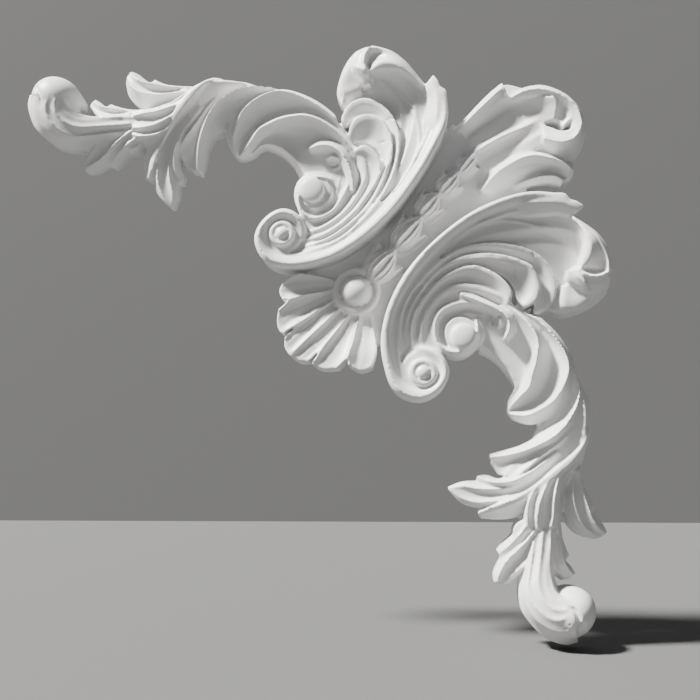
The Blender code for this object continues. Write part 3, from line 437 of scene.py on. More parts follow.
@dataclass(frozen=True)
class Crown(Carved):
    """The hollowed leaf over the scroll, with its fin and the rolled lip at its far corner."""

    pad: Mound = Mound(58.0, 56.0, 5.5, 12.0)
    hollow: Blade = Blade((
        ((16.5, 32.5, 20), (17, 46, 21.5), (20.5, 64, 21.5), (27.5, 83.5, 20.5), (37.5, 96, 20),
         (49, 100, 19), (61, 102.5, 19), (71.5, 101.5, 19.5), (79.5, 99, 20), (85.5, 95, 20),
         (90, 86.5, 18), (89.5, 79.5, 16.5), (86.5, 72, 14), (79.5, 64.5, 11.5)),
        ((21, 32.5, 20), (22.5, 45.5, 22.5), (27.5, 60, 21.5), (35.5, 75, 19.5), (43, 85.5, 18),
         (50, 92.5, 17.5), (58, 96.5, 17.5), (66.5, 96, 18), (74.5, 93, 18), (79.5, 87.5, 18),
         (81.5, 81.5, 17), (82, 75.5, 15.5), (80, 69.5, 14), (77.5, 63.5, 13)),
        ((23.5, 33, 19), (24.5, 45, 21), (31, 58.5, 19.5), (39.5, 70.5, 17.5), (47, 79, 16),
         (53, 85, 15.2), (59.5, 88.5, 15), (66.5, 88.5, 14.7), (72, 86.5, 14.3), (75.5, 82.5, 13.8),
         (77.5, 78, 13.2), (77.5, 73, 12.8), (76.5, 68, 12.5), (75.5, 63.5, 12.5)),
        ((26, 33, 17), (26.5, 45, 18), (35.5, 59, 16), (44, 67.5, 14.5), (51, 73.5, 13.5),
         (56, 76.5, 12.8), (61, 77, 12.4), (65.5, 75.5, 12), (69, 73, 11.8), (71.5, 70.5, 11.5),
         (73, 68, 11.2), (74, 65.5, 11), (74.5, 63.5, 11), (74.5, 61.5, 11)),
    ), (0.6, 1.6, 0.8))
    fin: Blade = Blade((
        ((20.5, 81.5, 20.5), (23, 86.5, 22.3), (26.5, 91.5, 23), (32, 98.5, 23), (37, 103.5, 22.6),
         (41, 106.5, 22.2), (44, 106, 21.8), (47, 107.5, 21.6), (51.5, 108.5, 21)),
        ((24, 79.5, 21.8), (27, 83.5, 23.3), (30, 88.5, 24.3), (35.5, 94.5, 24), (40, 99, 23.4),
         (43, 101.5, 22.9), (45, 102.5, 22.5), (47.5, 103.5, 22), (51, 104.5, 21.3)),
        ((28, 78, 19), (31.5, 81.5, 20.3), (35.5, 85.5, 21), (39.5, 90.5, 20.5), (43, 95, 20.3),
         (45.5, 97.5, 20.2), (47.5, 98.5, 20), (49.5, 100, 19.8), (51, 101, 19.5)),
    ), (-0.2, -0.4))
    roll: Blade = Blade((
        ((49.5, 102, 18), (58.5, 103.5, 18), (68.5, 104, 18.5), (75.5, 102.5, 19), (81, 99.5, 19),
         (85.5, 96.5, 19)),
        ((50.5, 100.5, 21), (59.5, 101.5, 22.3), (68, 101.5, 23.3), (75, 99.5, 23.3), (80, 97, 23.6),
         (84, 93.5, 23.6)),
        ((51, 100, 21.5), (60, 99.5, 24.2), (67.5, 99, 25.4), (73.5, 97.5, 23.8), (78, 96, 21),
         (80.5, 93, 20)),
        ((51.5, 99.5, 22), (60, 98, 24.8), (67, 96.5, 26), (71, 93.5, 26), (73.5, 90.5, 25.2),
         (74.5, 86.5, 24)),
        ((51.5, 99.5, 21), (59.5, 98.5, 23), (64.5, 95.5, 24.3), (68.5, 91.5, 24.5), (72, 87, 24.3),
         (73.5, 84, 23.5)),
        ((51.5, 99.5, 18.5), (59, 98.5, 18), (64, 96.5, 16.5), (67.5, 92.5, 15.5), (70.5, 88.5, 15.5),
         (72.5, 85.5, 15.5)),
    ), (-0.2, 0.5, 0.2, -0.2, 0.0))
    tongue: Blade = Blade((
        ((70, 83.5, 18), (71.5, 85.5, 18), (75, 87.5, 19.3), (78.5, 89, 19.3), (81, 92, 19.8),
         (82.5, 95.5, 22)),
        ((71.5, 82.5, 23), (73, 83, 24.8), (76, 84, 25.6), (79.5, 85.5, 25.6), (82, 88.5, 25.2),
         (84, 93.5, 24)),
        ((73, 80.5, 22), (75, 80.5, 24), (78.5, 81, 24.3), (82, 83, 23.6), (85, 86.5, 22.8),
         (86, 92.5, 22)),
        ((75.5, 78.5, 18), (77.5, 79, 19.5), (81.5, 78.5, 20.6), (85, 81, 20.6), (87, 85, 20.3),
         (88, 90.5, 19)),
    ), (0.0, 0.3, 0.0))
    facet: Blade = Blade((
        ((74.5, 85.5, 23), (78, 85, 22.5), (81, 84, 21.5), (84.5, 82.5, 19.5)),
        ((73, 84, 25), (76.5, 82.5, 25.6), (80, 81, 24.8), (84, 80.5, 22)),
        ((69.5, 80.5, 21.5), (72.5, 77.5, 20.5), (76.5, 77.5, 20), (83, 79.5, 20.3)),
        ((69, 82, 15), (72, 77.5, 14.5), (77, 77.5, 15), (83.5, 79.5, 17)),
    ))
    ball: Blade = Blade((
        ((70, 74.5, 12.5), (72.5, 75.5, 16.3), (76.5, 77.5, 17.6), (80.5, 80.5, 19), (83.5, 83.5, 20.4),
         (85.5, 87.5, 20.6), (86.5, 93.5, 19.6)),
        ((72.5, 70, 12.5), (75.5, 71, 16), (80, 73.5, 17), (83.5, 76.5, 18), (86, 80.5, 18.9),
         (87.5, 86, 19), (88, 91, 18.5)),
        ((75, 67, 12), (78.5, 67.5, 15), (83, 70, 15.9), (86, 74, 16.7), (88, 80.5, 17.2),
         (89.5, 88.5, 17)),
        ((78, 63.5, 11), (83, 66, 11), (86.5, 71, 12), (89, 76.5, 12.5), (90.5, 82.5, 13),
         (90.5, 89.5, 13)),
    ), (0.0, -0.3, -0.4))

    def build(self, bench: Workbench, side: float) -> list[bpy.types.Object]:
        """Make the members of one crown."""
        return super().build(bench, side) + self.pad.build(bench, side)


@dataclass(frozen=True)
class Arm(Carved):
    """The arm that sweeps down from the scroll, with its overlapping lobes."""

    body: Blade = Blade((
        ((47, 51.5, 10), (53, 53, 10), (62, 54.5, 10), (73, 55.5, 10), (84.5, 54.5, 10), (94.5, 52, 10),
         (105, 48.5, 10), (114.5, 44, 10), (122.5, 40.5, 10), (129, 35, 10), (134.5, 29.5, 10),
         (139, 21.5, 10), (142.5, 16.5, 9)),
        ((48, 48.5, 16), (54.5, 50, 16), (63, 51, 15.5), (74, 51.5, 15.5), (85, 50.5, 15.5),
         (95, 48.5, 15.5), (105, 44.5, 16.5), (114.5, 40, 19), (121, 36, 21), (126.5, 31.5, 21),
         (131.5, 26.5, 20), (135.5, 19.5, 18.5), (138, 15, 17)),
        ((49.5, 36.5, 13), (59.5, 39.5, 13.5), (72, 41, 14), (84, 41, 14), (93.5, 38, 14), (102, 33, 14),
         (109, 28.5, 14), (114.5, 23, 13.5), (118, 16.5, 13), (119.5, 9.5, 12.5), (121, 4, 12),
         (122, -1.5, 11.5), (123.5, -5, 11)),
        ((62.5, 24.5, 9), (69, 26, 9), (77.5, 26.5, 9), (85.5, 25, 9), (91.5, 22.5, 8.5),
         (97.5, 19.5, 8.5), (104.5, 17, 8.5), (111, 15.5, 8.5), (115, 12, 8.5), (116, 5.5, 8.5),
         (115.5, -1.5, 8.5), (117, -7, 8.5), (118.5, -10, 8.5)),
    ), (0.0, 0.8, 0.4))
    hollow: Blade = Blade((
        ((56.5, 51, 17), (64.5, 52, 17), (74, 52, 16.5), (82.5, 50.5, 16), (89.5, 47, 15.5),
         (94, 42.5, 15), (97.5, 37.5, 14.5), (100, 31, 14), (101, 24.5, 13), (100, 18.5, 12),
         (98.5, 13, 11), (97, 9.5, 9.5)),
        ((53.5, 49, 18.5), (61, 49, 20), (69.5, 49, 22), (76.5, 47.5, 23.5), (82.5, 44.5, 24),
         (86.5, 40, 24), (90, 35, 23.5), (92.5, 30, 22.5), (95.5, 24.5, 20), (95.5, 18.5, 17),
         (95.5, 13.5, 14), (96, 9.5, 11)),
        ((53, 44, 16.5), (61.5, 44.5, 16), (70.5, 44, 15.5), (78.5, 42, 15), (84, 38.5, 14.5),
         (88.5, 33.5, 14), (91.5, 29.5, 13.5), (93.5, 24, 12.5), (94, 18.5, 11.5), (94, 13.5, 11),
         (95, 10.5, 10)),
        ((58.5, 31, 13.5), (67, 32, 13), (75.5, 32, 12.5), (82, 31, 12), (86.5, 29.5, 11.5),
         (90.5, 26.5, 11), (92, 23, 10.8), (92.5, 18.5, 10.5), (93, 14.5, 10), (94.5, 11.5, 9.5)),
        ((63.5, 24.5, 14), (70.5, 26, 14), (78, 26, 13.5), (84, 25, 13), (88, 23, 12.5), (91, 20.5, 12),
         (91.5, 18, 11.5), (92, 15, 11), (93, 12.5, 10.3), (94.5, 11, 9)),
        ((65.5, 22, 8.5), (72, 24, 8.5), (79, 24.5, 8.5), (85, 23.5, 8.5), (90, 22, 8.5), (92, 20.5, 8.5),
         (92.5, 17.5, 8.5), (93, 14, 8), (95, 11, 8)),
    ), (0.0, 0.5, 0.4, 0.2, 0.0), 0.5)
    lobe_one: Blade = Blade((
        ((74.5, 56, 17.5), (85, 55.5, 17.5), (94, 53.5, 17), (102, 50, 16.5), (107.5, 45, 16),
         (111.5, 38.5, 15.5), (113, 32, 14.5), (113.5, 25, 13), (112.5, 18.5, 11.5), (110.5, 13, 9.5),
         (106.5, 10, 8.5), (101.5, 8, 8)),
        ((71.5, 54, 19.5), (81, 53, 22), (89.5, 51, 24), (97, 48, 25), (102.5, 44, 25), (106, 38, 24.3),
         (108, 32, 23), (108.5, 25.5, 21), (107, 19.5, 18), (104, 12.5, 14.5), (98.5, 8.5, 11.5)),
        ((67.5, 53, 18.5), (77, 53, 18.5), (85.5, 51.5, 18.5), (93, 48.5, 18.5), (98.5, 44, 18.5),
         (102, 38.5, 18), (104.5, 32, 17), (105, 25.5, 15.5), (104, 19.5, 13.5), (101, 13, 12),
         (97, 9, 10)),
        ((56.5, 51, 16.5), (64.5, 52, 16.5), (74, 52.5, 16), (82.5, 50.5, 15.5), (89.5, 47, 15),
         (94, 43, 14.5), (97.5, 37.5, 14), (100, 31, 13.5), (101, 24.5, 12.5), (100, 18, 11.5),
         (98, 12.5, 10.5), (96, 10, 9)),
    ), (0.3, 0.0, 0.5), 0.5)
    lobe_two: Blade = Blade((
        ((119.5, 37, 17.5), (123.5, 31.5, 16.5), (125.5, 24.5, 15.5), (125.5, 17, 14.5),
         (123.5, 8.5, 13.5), (120.5, 1, 12.5), (116.5, -5, 11.5), (112, -10, 10.5), (107.5, -13.5, 9.5)),
        ((100.5, 49.5, 18), (107.5, 45.5, 20), (113, 41, 21.5), (117, 35.5, 23), (119.5, 29, 23.5),
         (121, 21.5, 23), (120.5, 13.5, 21.5), (118, 5.5, 19), (114.5, -2, 16.5), (110.5, -8, 13.5),
         (106.5, -12.5, 11)),
        ((102, 45.5, 17), (109, 41, 17.5), (114, 36, 17.5), (117, 29.5, 17), (118, 22.5, 16),
         (117.5, 14.5, 15), (115.5, 7, 13.5), (113, 0, 12), (109.5, -6, 10.5), (105.5, -12, 9)),
        ((100, 49, 16.5), (106.5, 45.5, 16), (111.5, 39.5, 15.5), (113.5, 32.5, 14), (114, 25.5, 13),
         (114, 18.5, 11.5), (113.5, 13, 10), (115, 8, 8.5), (113, 1, 8.5), (109.5, -5, 8.5),
         (105, -12, 8)),
    ), (0.3, 0.0, 0.5), 0.5)
    lobe_fold: Blade = Blade((
        ((125.5, 30.5, 16.5), (127.5, 23.5, 15.5), (128, 16, 14.5), (127, 8, 13.5), (125.5, -0.5, 12.5),
         (124.5, -7, 11.5), (123, -13, 10.5)),
        ((123.5, 31, 17), (125.5, 23.5, 16.5), (125.5, 15.5, 16), (124, 7, 16), (123, -1, 16.2),
         (122.5, -6.5, 15.5), (121.5, -11.5, 13.5)),
        ((121, 31, 16.8), (123, 23.5, 16), (122.5, 15.5, 15), (121, 6.5, 14), (119, -1, 13),
         (117.5, -8, 12), (117.5, -14, 11)),
        ((123, 19, 13), (120, 7.5, 12), (117, 0, 11), (113, -6.5, 10), (110, -11, 9.5),
         (108.5, -14.5, 8.5), (111, -15, 8), (115.5, -16, 8)),
    ), (0.3, 0.4, 0.2), 0.4)
    tooth: Blade = Blade((
        ((125, 3, 12), (122.5, -7, 10.5), (119.5, -13.5, 9.5), (116.5, -17.5, 8.5), (111.5, -20, 8),
         (108.5, -23.5, 7)),
        ((127.5, 12.5, 15.5), (126.5, 2.5, 16), (124.5, -6.5, 16.3), (122, -13, 16), (118.5, -18, 14.5),
         (114, -21.5, 12.5), (109, -23.5, 9.5)),
        ((129.5, 12, 15), (129, 2.5, 14.5), (128, -6, 13.5), (125.5, -13.5, 12.5), (121.5, -19.5, 11.5),
         (117, -23.5, 10.5), (110.5, -25, 8)),
    ), (0.2, 0.3), 0.4)
    lobe_three: Blade = Blade((
        ((128.5, 13.5, 14), (127.5, 3.5, 12.5), (125.5, -6, 11), (121.5, -15.5, 9.5), (116, -22, 9),
         (110, -25.5, 8), (105.5, -30.5, 7), (102.5, -37, 6)),
        ((129.5, 13, 14.5), (129, 2.5, 13.5), (127, -7.5, 13), (123.5, -16.5, 13), (118.5, -22.5, 13),
         (113, -27.5, 12.3), (107, -31.5, 10.5), (103, -37, 7)),
        ((131, 12.5, 14.5), (131, 2.5, 13), (129, -7.5, 12), (125.5, -17.5, 11.2), (120, -25, 10.5),
         (114, -31, 9.5), (108, -35, 8.3), (103.5, -37.5, 6.5)),
        ((132, 12, 15), (132.5, 2, 14), (131, -8.5, 13.5), (127.5, -18.5, 13.3), (123, -26.5, 12.8),
         (118, -32.5, 11.3), (111.5, -36, 9), (104, -37.5, 6.8)),
        ((133.5, 12, 13), (134, 2, 12), (133.5, -9, 11), (130.5, -19.5, 10), (126, -27.5, 9),
         (120.5, -34, 7.5), (113, -38, 6.5), (104, -38, 6)),
    ), (0.2, 0.3, 0.3, 0.2), 0.4)
    lobe_four: Blade = Blade((
        ((129, 31.5, 16), (131.5, 24, 15.5), (132.5, 15, 14.5), (132, 5, 13.5), (131, -5, 12.5),
         (129, -15, 11.8), (126.5, -23.5, 11), (123.5, -30, 10), (121.5, -34.5, 8)),
        ((130.5, 30.5, 18.5), (133, 24.5, 20), (133.5, 16, 20.5), (132.5, 6, 20), (131.5, -3.5, 19),
         (129.5, -13, 17.5), (127, -21.5, 15.5), (124, -28.5, 13), (122, -35, 9.5)),
        ((133.5, 27, 19), (135, 22, 20), (136, 14.5, 20.5), (135.5, 6, 20), (134.5, -3, 19),
         (132.5, -12.5, 17), (130, -20.5, 15), (127, -28, 12.5), (123, -35.5, 9)),
        ((138, 22.5, 13), (139.5, 17.5, 14), (140, 10, 14.5), (139.5, 1, 14), (138.5, -7.5, 13),
         (136.5, -15.5, 11.5), (134, -22.5, 10), (130, -29.5, 8.5), (124.5, -36, 7)),
        ((140.5, 19.5, 9), (142, 14, 9), (142.5, 6, 9), (142.5, -2.5, 9), (140.5, -10.5, 9),
         (139, -18, 8.5), (136.5, -24, 8), (131.5, -31, 7), (125.5, -36.5, 6)),
    ), (0.4, 0.0, 0.0, 0.2), 0.4)


@dataclass(frozen=True)
class EndLeaf(Carved):
    """The pointed leaves, the curled stem and the bulb that end an arm."""

    mounds: tuple[Mound, ...] = (
        Mound(187.0, -39.5, 12.8, 11.0, 25.5, 0.96),
        Mound(144.0, -26.0, 6.0, 13.0),
        Mound(150.0, -17.5, 4.5, 15.0),
    )
    ground: Blade = Blade((
        ((134, -10, 9), (136, -16.5, 9), (140, -22.5, 9), (143, -29.5, 8.5), (144, -36, 8), (146, -42, 8),
         (151, -44, 7.5), (157, -42, 8), (164.5, -47, 9)),
        ((142, 15.5, 9), (143.5, 6.5, 9.5), (147, -2, 10), (151.5, -9, 10), (155.5, -14.5, 10),
         (160, -20.5, 10), (163.5, -26, 10), (167.5, -31.5, 10), (172, -36, 11)),
    ))
    leaf_a: Blade = Blade((
        ((141, 16.5, 12), (147, 12, 11), (153, 8.5, 10), (158, 7, 9), (161.5, 6.5, 7), (160.5, 4, 8),
         (165, 3, 7.5), (170, 2.5, 7), (174.5, 1, 6)),
        ((141, 14.5, 15), (146.5, 9.5, 15.5), (152.5, 5.5, 15.5), (158, 2.5, 15), (163, 0.5, 13.5),
         (168.5, -0.5, 11.5), (173.5, 0, 8)),
        ((141, 13.5, 14.5), (146, 8, 13), (151.5, 3.5, 12), (157, 0, 11), (162.5, -2.5, 10.5),
         (168, -3, 9.5), (173.5, -1, 7)),
        ((140, 12, 16), (144.5, 6, 16.5), (149.5, 0.5, 16.5), (155, -3, 15.5), (160.5, -5, 14),
         (166.5, -5, 11.5), (173, -3, 8)),
        ((140.5, 9.5, 14), (144.5, 4, 12.5), (149, -1.5, 11.5), (154, -5, 10.5), (159.5, -7, 9.5),
         (165.5, -7, 8.5), (172.5, -4, 6.5)),
        ((141, 6, 12), (144.5, 1, 9), (148, -4, 8), (152.5, -7.5, 7), (158, -10, 6.5), (164, -10, 6),
         (172, -5.5, 6)),
    ), (0.2, 0.4, 0.4, 0.4, 0.2))
    leaf_b: Blade = Blade((
        ((154.5, -12, 9), (160.5, -16.5, 9), (166, -19, 8), (168.5, -20, 7), (168.5, -22.5, 7.5),
         (172.5, -23, 7), (177, -24, 6)),
        ((153.5, -14, 14), (159, -18.5, 14), (164, -22, 13.5), (169.5, -24.5, 12), (176, -25.5, 8.5)),
        ((153.5, -15.5, 13), (158.5, -20, 12), (164, -24, 10.5), (169, -27, 9.5), (176.5, -27.5, 7)),
        ((153.5, -17, 14.5), (158, -22, 14), (162.5, -26.5, 12.5), (168, -29.5, 11), (175, -29.5, 8)),
        ((153, -18, 12), (158, -23.5, 11), (162.5, -28, 9), (168, -31.5, 7), (174, -31.5, 6)),
    ), (0.2, 0.3, 0.3, 0.2))
    tooth_c: Blade = Blade((
        ((138.5, -23, 9), (140, -27.5, 9), (141, -34, 8.5), (141, -39.5, 7.5), (141.5, -43, 6)),
        ((140.5, -23.5, 15.5), (142, -28, 15.5), (142.5, -34, 14), (143, -39, 11.5), (143, -43.5, 7.5)),
        ((143, -24, 15), (144.5, -29, 14), (145.5, -35, 12.5), (145.5, -39.5, 10.5), (145, -44, 7)),
    ), (0.2, 0.2))
    leaf_c: Blade = Blade((
        ((146.5, -33.5, 9), (146, -40, 8), (145.5, -44, 7), (146.5, -48.5, 6.5), (148.5, -53, 6),
         (151.5, -55.5, 6)),
        ((146, -23, 16), (146.5, -30, 16.5), (147, -36, 15.5), (147, -41.5, 14), (148, -46.5, 12.5),
         (150, -51, 10.5), (152.5, -54.5, 7.5)),
        ((149, -23.5, 14), (150.5, -30, 12.5), (151, -36.5, 11.5), (151, -42.5, 10.5), (152, -47.5, 9.5),
         (153, -52, 8), (154, -54, 6.5)),
        ((151.5, -24.5, 16), (153.5, -30, 15.5), (154.5, -36, 14.5), (155, -41.5, 13), (155, -46.5, 11),
         (155, -50.5, 9), (154.5, -53.5, 7)),
        ((156, -29, 10), (158, -35.5, 8), (159, -41, 7), (158.5, -46, 6.5), (157, -50.5, 6),
         (155.5, -53.5, 6)),
    ), (0.2, 0.3, 0.3, 0.2))
    stem: Blade = Blade((
        ((146.5, -30, 9), (152.5, -38, 9), (158.5, -45.5, 9), (164.5, -52, 9.5), (170.5, -56, 10),
         (178, -57.5, 10.5), (186, -57.5, 11), (192.5, -55, 11.5), (197.5, -51.5, 12), (200.5, -47, 12)),
        ((148, -28, 13), (154, -36, 14.5), (159, -42.5, 16), (164, -49, 17.5), (169.5, -52.5, 18.5),
         (176, -54, 19.5), (182.5, -53, 20.5), (187, -51, 21.5), (191.5, -47.5, 22), (193.5, -43.5, 22)),
        ((147.5, -24.5, 15), (153.5, -33, 17), (158.5, -40.5, 19), (162.5, -46, 20.5), (168, -49, 21.8),
         (174, -49.5, 23), (180, -48, 24), (183.5, -44.5, 25), (185.5, -40, 25), (185.5, -37.5, 24.5)),
        ((148, -22.5, 14.5), (154.5, -31.5, 15.5), (159.5, -39.5, 17.8), (163.5, -44.5, 20),
         (169, -47.5, 21.6), (174.5, -47.5, 22.6), (179.5, -46.5, 23.3), (182.5, -43.5, 24.2),
         (183.5, -40, 24.5), (184.5, -37.5, 24)),
        ((148.5, -20.5, 16.5), (154.5, -28, 17.5), (159.5, -34.5, 19), (163.5, -40, 21),
         (168.5, -43.5, 22.5), (173.5, -44.5, 23.5), (177.5, -44, 24.3), (180.5, -41.5, 24.8),
         (182, -39, 24.8), (183, -37, 24)),
        ((150, -19, 15.5), (157, -26, 16), (162, -32, 17.8), (166.5, -37, 20), (170.5, -40, 21.6),
         (174, -40.5, 22.6), (177, -40, 23), (179.5, -39, 23.5), (180.5, -37.5, 23.5), (182, -36.5, 23)),
        ((151.5, -17.5, 16.5), (157.5, -24, 17), (163, -30, 17.5), (167.5, -34, 18.8), (171, -36.5, 20.5),
         (174.5, -37.5, 21.5), (176.5, -37.5, 22.5), (178.5, -37, 23), (180, -36, 23), (181, -36, 22.5)),
        ((155, -15.5, 9), (160.5, -22, 9), (166, -28.5, 9), (170.5, -33, 10), (174.5, -35, 12),
         (176, -36, 15), (177.5, -36, 18), (179, -35.5, 20), (180.5, -35.5, 21), (181.5, -35.5, 21.5)),
    ), (0.2, 0.0, 0.3, 0.3, 0.3, 0.3, 0.2))
    folds: Blade = Blade((
        ((135, -13.5, 9), (135, -17, 8), (136.5, -20.5, 8), (139, -24, 8), (142.5, -26.5, 8.5),
         (146, -26.5, 9)),
        ((132, 0.5, 17.5), (131.5, -8, 19), (133, -14.5, 19.5), (136.5, -19.5, 19), (140.5, -23, 18),
         (145.5, -24.5, 15.5)),
        ((133, 2, 17), (133.5, -6, 17), (135.5, -12.5, 16.5), (139, -17, 16), (142.5, -20.5, 15.5),
         (145.5, -23, 14.5)),
        ((134, 4.5, 18.5), (134.5, -3, 20), (136.5, -9.5, 20.5), (139, -14.5, 20), (142.5, -19, 19),
         (146.5, -22, 16.5)),
        ((135.5, 5, 17.5), (137, -0.5, 16.5), (140, -6, 15.5), (143.5, -10.5, 15), (147, -14, 15.5),
         (149.5, -18, 15.5)),
        ((135.5, 8, 19), (137, 2, 20), (140, -3, 20), (143, -7.5, 19.5), (147, -12, 18.5),
         (150.5, -17, 17)),
        ((137, 10.5, 18), (138.5, 5, 18), (141, -0.5, 17.5), (144, -5.5, 17), (148, -10, 16.5),
         (152, -15.5, 15.5)),
        ((138.5, 14.5, 18), (138.5, 9, 19), (139.5, 3.5, 19), (142.5, -2, 18.5), (146, -7, 17.5),
         (150, -11, 16.5), (154.5, -15.5, 14)),
        ((141, 16.5, 12), (141.5, 11, 12), (142.5, 5, 12), (144.5, -0.5, 12), (148, -5.5, 11.5),
         (152, -10, 11), (156.5, -14, 9)),
    ), (0.2, 0.3, 0.3, 0.3, 0.3, 0.2, 0.2, 0.2))

    def build(self, bench: Workbench, side: float) -> list[bpy.types.Object]:
        """Make the members of one end."""
        made = super().build(bench, side)
        for mound in self.mounds:
            made += mound.build(bench, side)
        return made


@dataclass(frozen=True)
class Shell(Carved):
    """The scalloped shell at the corner."""

    lobe_centre: Blade = Blade((
        ((5, -8, 9.5), (6, -15, 11), (7.5, -25, 13.3), (8.5, -36, 16), (8.5, -43, 16.5)),
        ((3, -8.5, 10), (3.5, -15.5, 11.3), (4.5, -26, 13), (5, -37, 15.3), (5, -45.5, 16)),
        ((-0.5, -9, 11), (-0.5, -16, 13), (-0.5, -26, 15), (-0.5, -38, 17), (-0.5, -47.5, 17)),
    ), (0.6, 0.9), 1)
    lobe_two: Blade = Blade((
        ((5, -8, 9.8), (6.5, -15, 11.5), (8, -25, 14), (9.5, -36, 17), (10.5, -42.5, 17)),
        ((7, -7, 9.3), (9, -13.5, 10.3), (12, -22.5, 12), (14.5, -32.5, 14.5), (15.5, -39.5, 15.8)),
        ((9, -6, 9.5), (12, -12, 11.5), (16.5, -19.5, 14), (21, -28, 16.8), (21.5, -35, 16.5)),
    ), (0.8, 0.6), 1.8)
    lobe_three: Blade = Blade((
        ((9, -5.5, 9.8), (12.5, -12, 11.8), (17, -19.5, 14.2), (21, -27, 17), (23.5, -30, 16.5)),
        ((11, -4.5, 9.3), (15, -8.5, 10.3), (20, -14.5, 12), (25.5, -21.5, 14.5), (28.5, -26.5, 15.5)),
        ((12, -3, 9.5), (17, -6, 11), (23, -10, 13.2), (29, -15.5, 15.5), (32, -22, 15.5)),
    ), (0.8, 0.6), 1.8)


@dataclass(frozen=True)
class Field:
    """The low ground between the two scrolls, and the button that stands on it."""

    ground: Blade = Blade((
        ((28.0, -18.0, 7.5), (20.0, 20.0, 7.5), (20.0, 60.0, 8.5), (27.0, 98.0, 12.0)),
        ((-1.0, -22.0, 7.5), (-1.0, 20.0, 7.5), (-1.0, 70.0, 8.5), (-1.0, 100.0, 12.0)),
    ))
    collar: tuple[float, float, float] = (10.6, 1.9, 13.2)
    collar_disc: Mound = Mound(0.0, 0.0, 10.6, 10.8)
    button: Mound = Mound(0.0, 0.0, 7.6, 13.0, 19.5)

    def build(self, bench: Workbench) -> list[bpy.types.Object]:
        """Make the ground on both sides and the button in its collar."""
        made = [bench.sweep(self.ground, side.value) for side in Side]
        made.append(bench.ring(0.0, 0.0, *self.collar))
        return made + self.collar_disc.build(bench) + self.button.build(bench)


@dataclass(frozen=True)
class Line:
    """A line carved into the finished surface.

    Attributes:
        path: its course in the plan; heights are not used.
        width: its breadth.
        depth: how deep it is cut, or how high it stands.
        cut: groove or ridge.
        both: whether it is on both arms.
        shift: how far it is moved across the plan.
    """

    path: Rail
    width: float
    depth: float
    cut: Cut = Cut.GROOVE
    both: bool = True
    shift: float = 0.0

    def carve(self, points: np.ndarray, facing: np.ndarray) -> None:
        """Cut the line into points that look away from the back.

        Args:
            points: plan points in millimetres, changed in place.
            facing: how squarely each point looks away from the back, 0 to 1.
        """
        course = spline(self.path, 60)
        place = np.linspace(0.0, 1.0, len(course))
        strength = ease(place / 0.25) * ease((1.0 - place) / 0.25)
        for side in (1.0, -1.0) if self.both else (1.0,):
            line = course[:, :2] * np.array([side, 1.0]) + np.array([self.shift, 0.0])
            low, high = line.min(axis=0) - self.width, line.max(axis=0) + self.width
            near = np.nonzero(np.all((points[:, :2] > low) & (points[:, :2] < high), axis=1))[0]
            if not len(near):
                continue
            spot = points[near, :2]
            best = np.full(len(near), 1e9)
            power = np.zeros(len(near))
            for start, end, force in zip(line[:-1], line[1:], strength):
                way = end - start
                share = np.clip((spot - start) @ way / max(float(way @ way), 1e-9), 0.0, 1.0)
                gap = np.linalg.norm(spot - start - share[:, None] * way, axis=1)
                closer = gap < best
                best[closer] = gap[closer]
                power[closer] = force
            shape = 0.5 + 0.5 * np.cos(np.pi * np.clip(best / (0.5 * self.width), 0.0, 1.0))
            points[near, 2] += self.cut.value * self.depth * shape * power * facing[near]


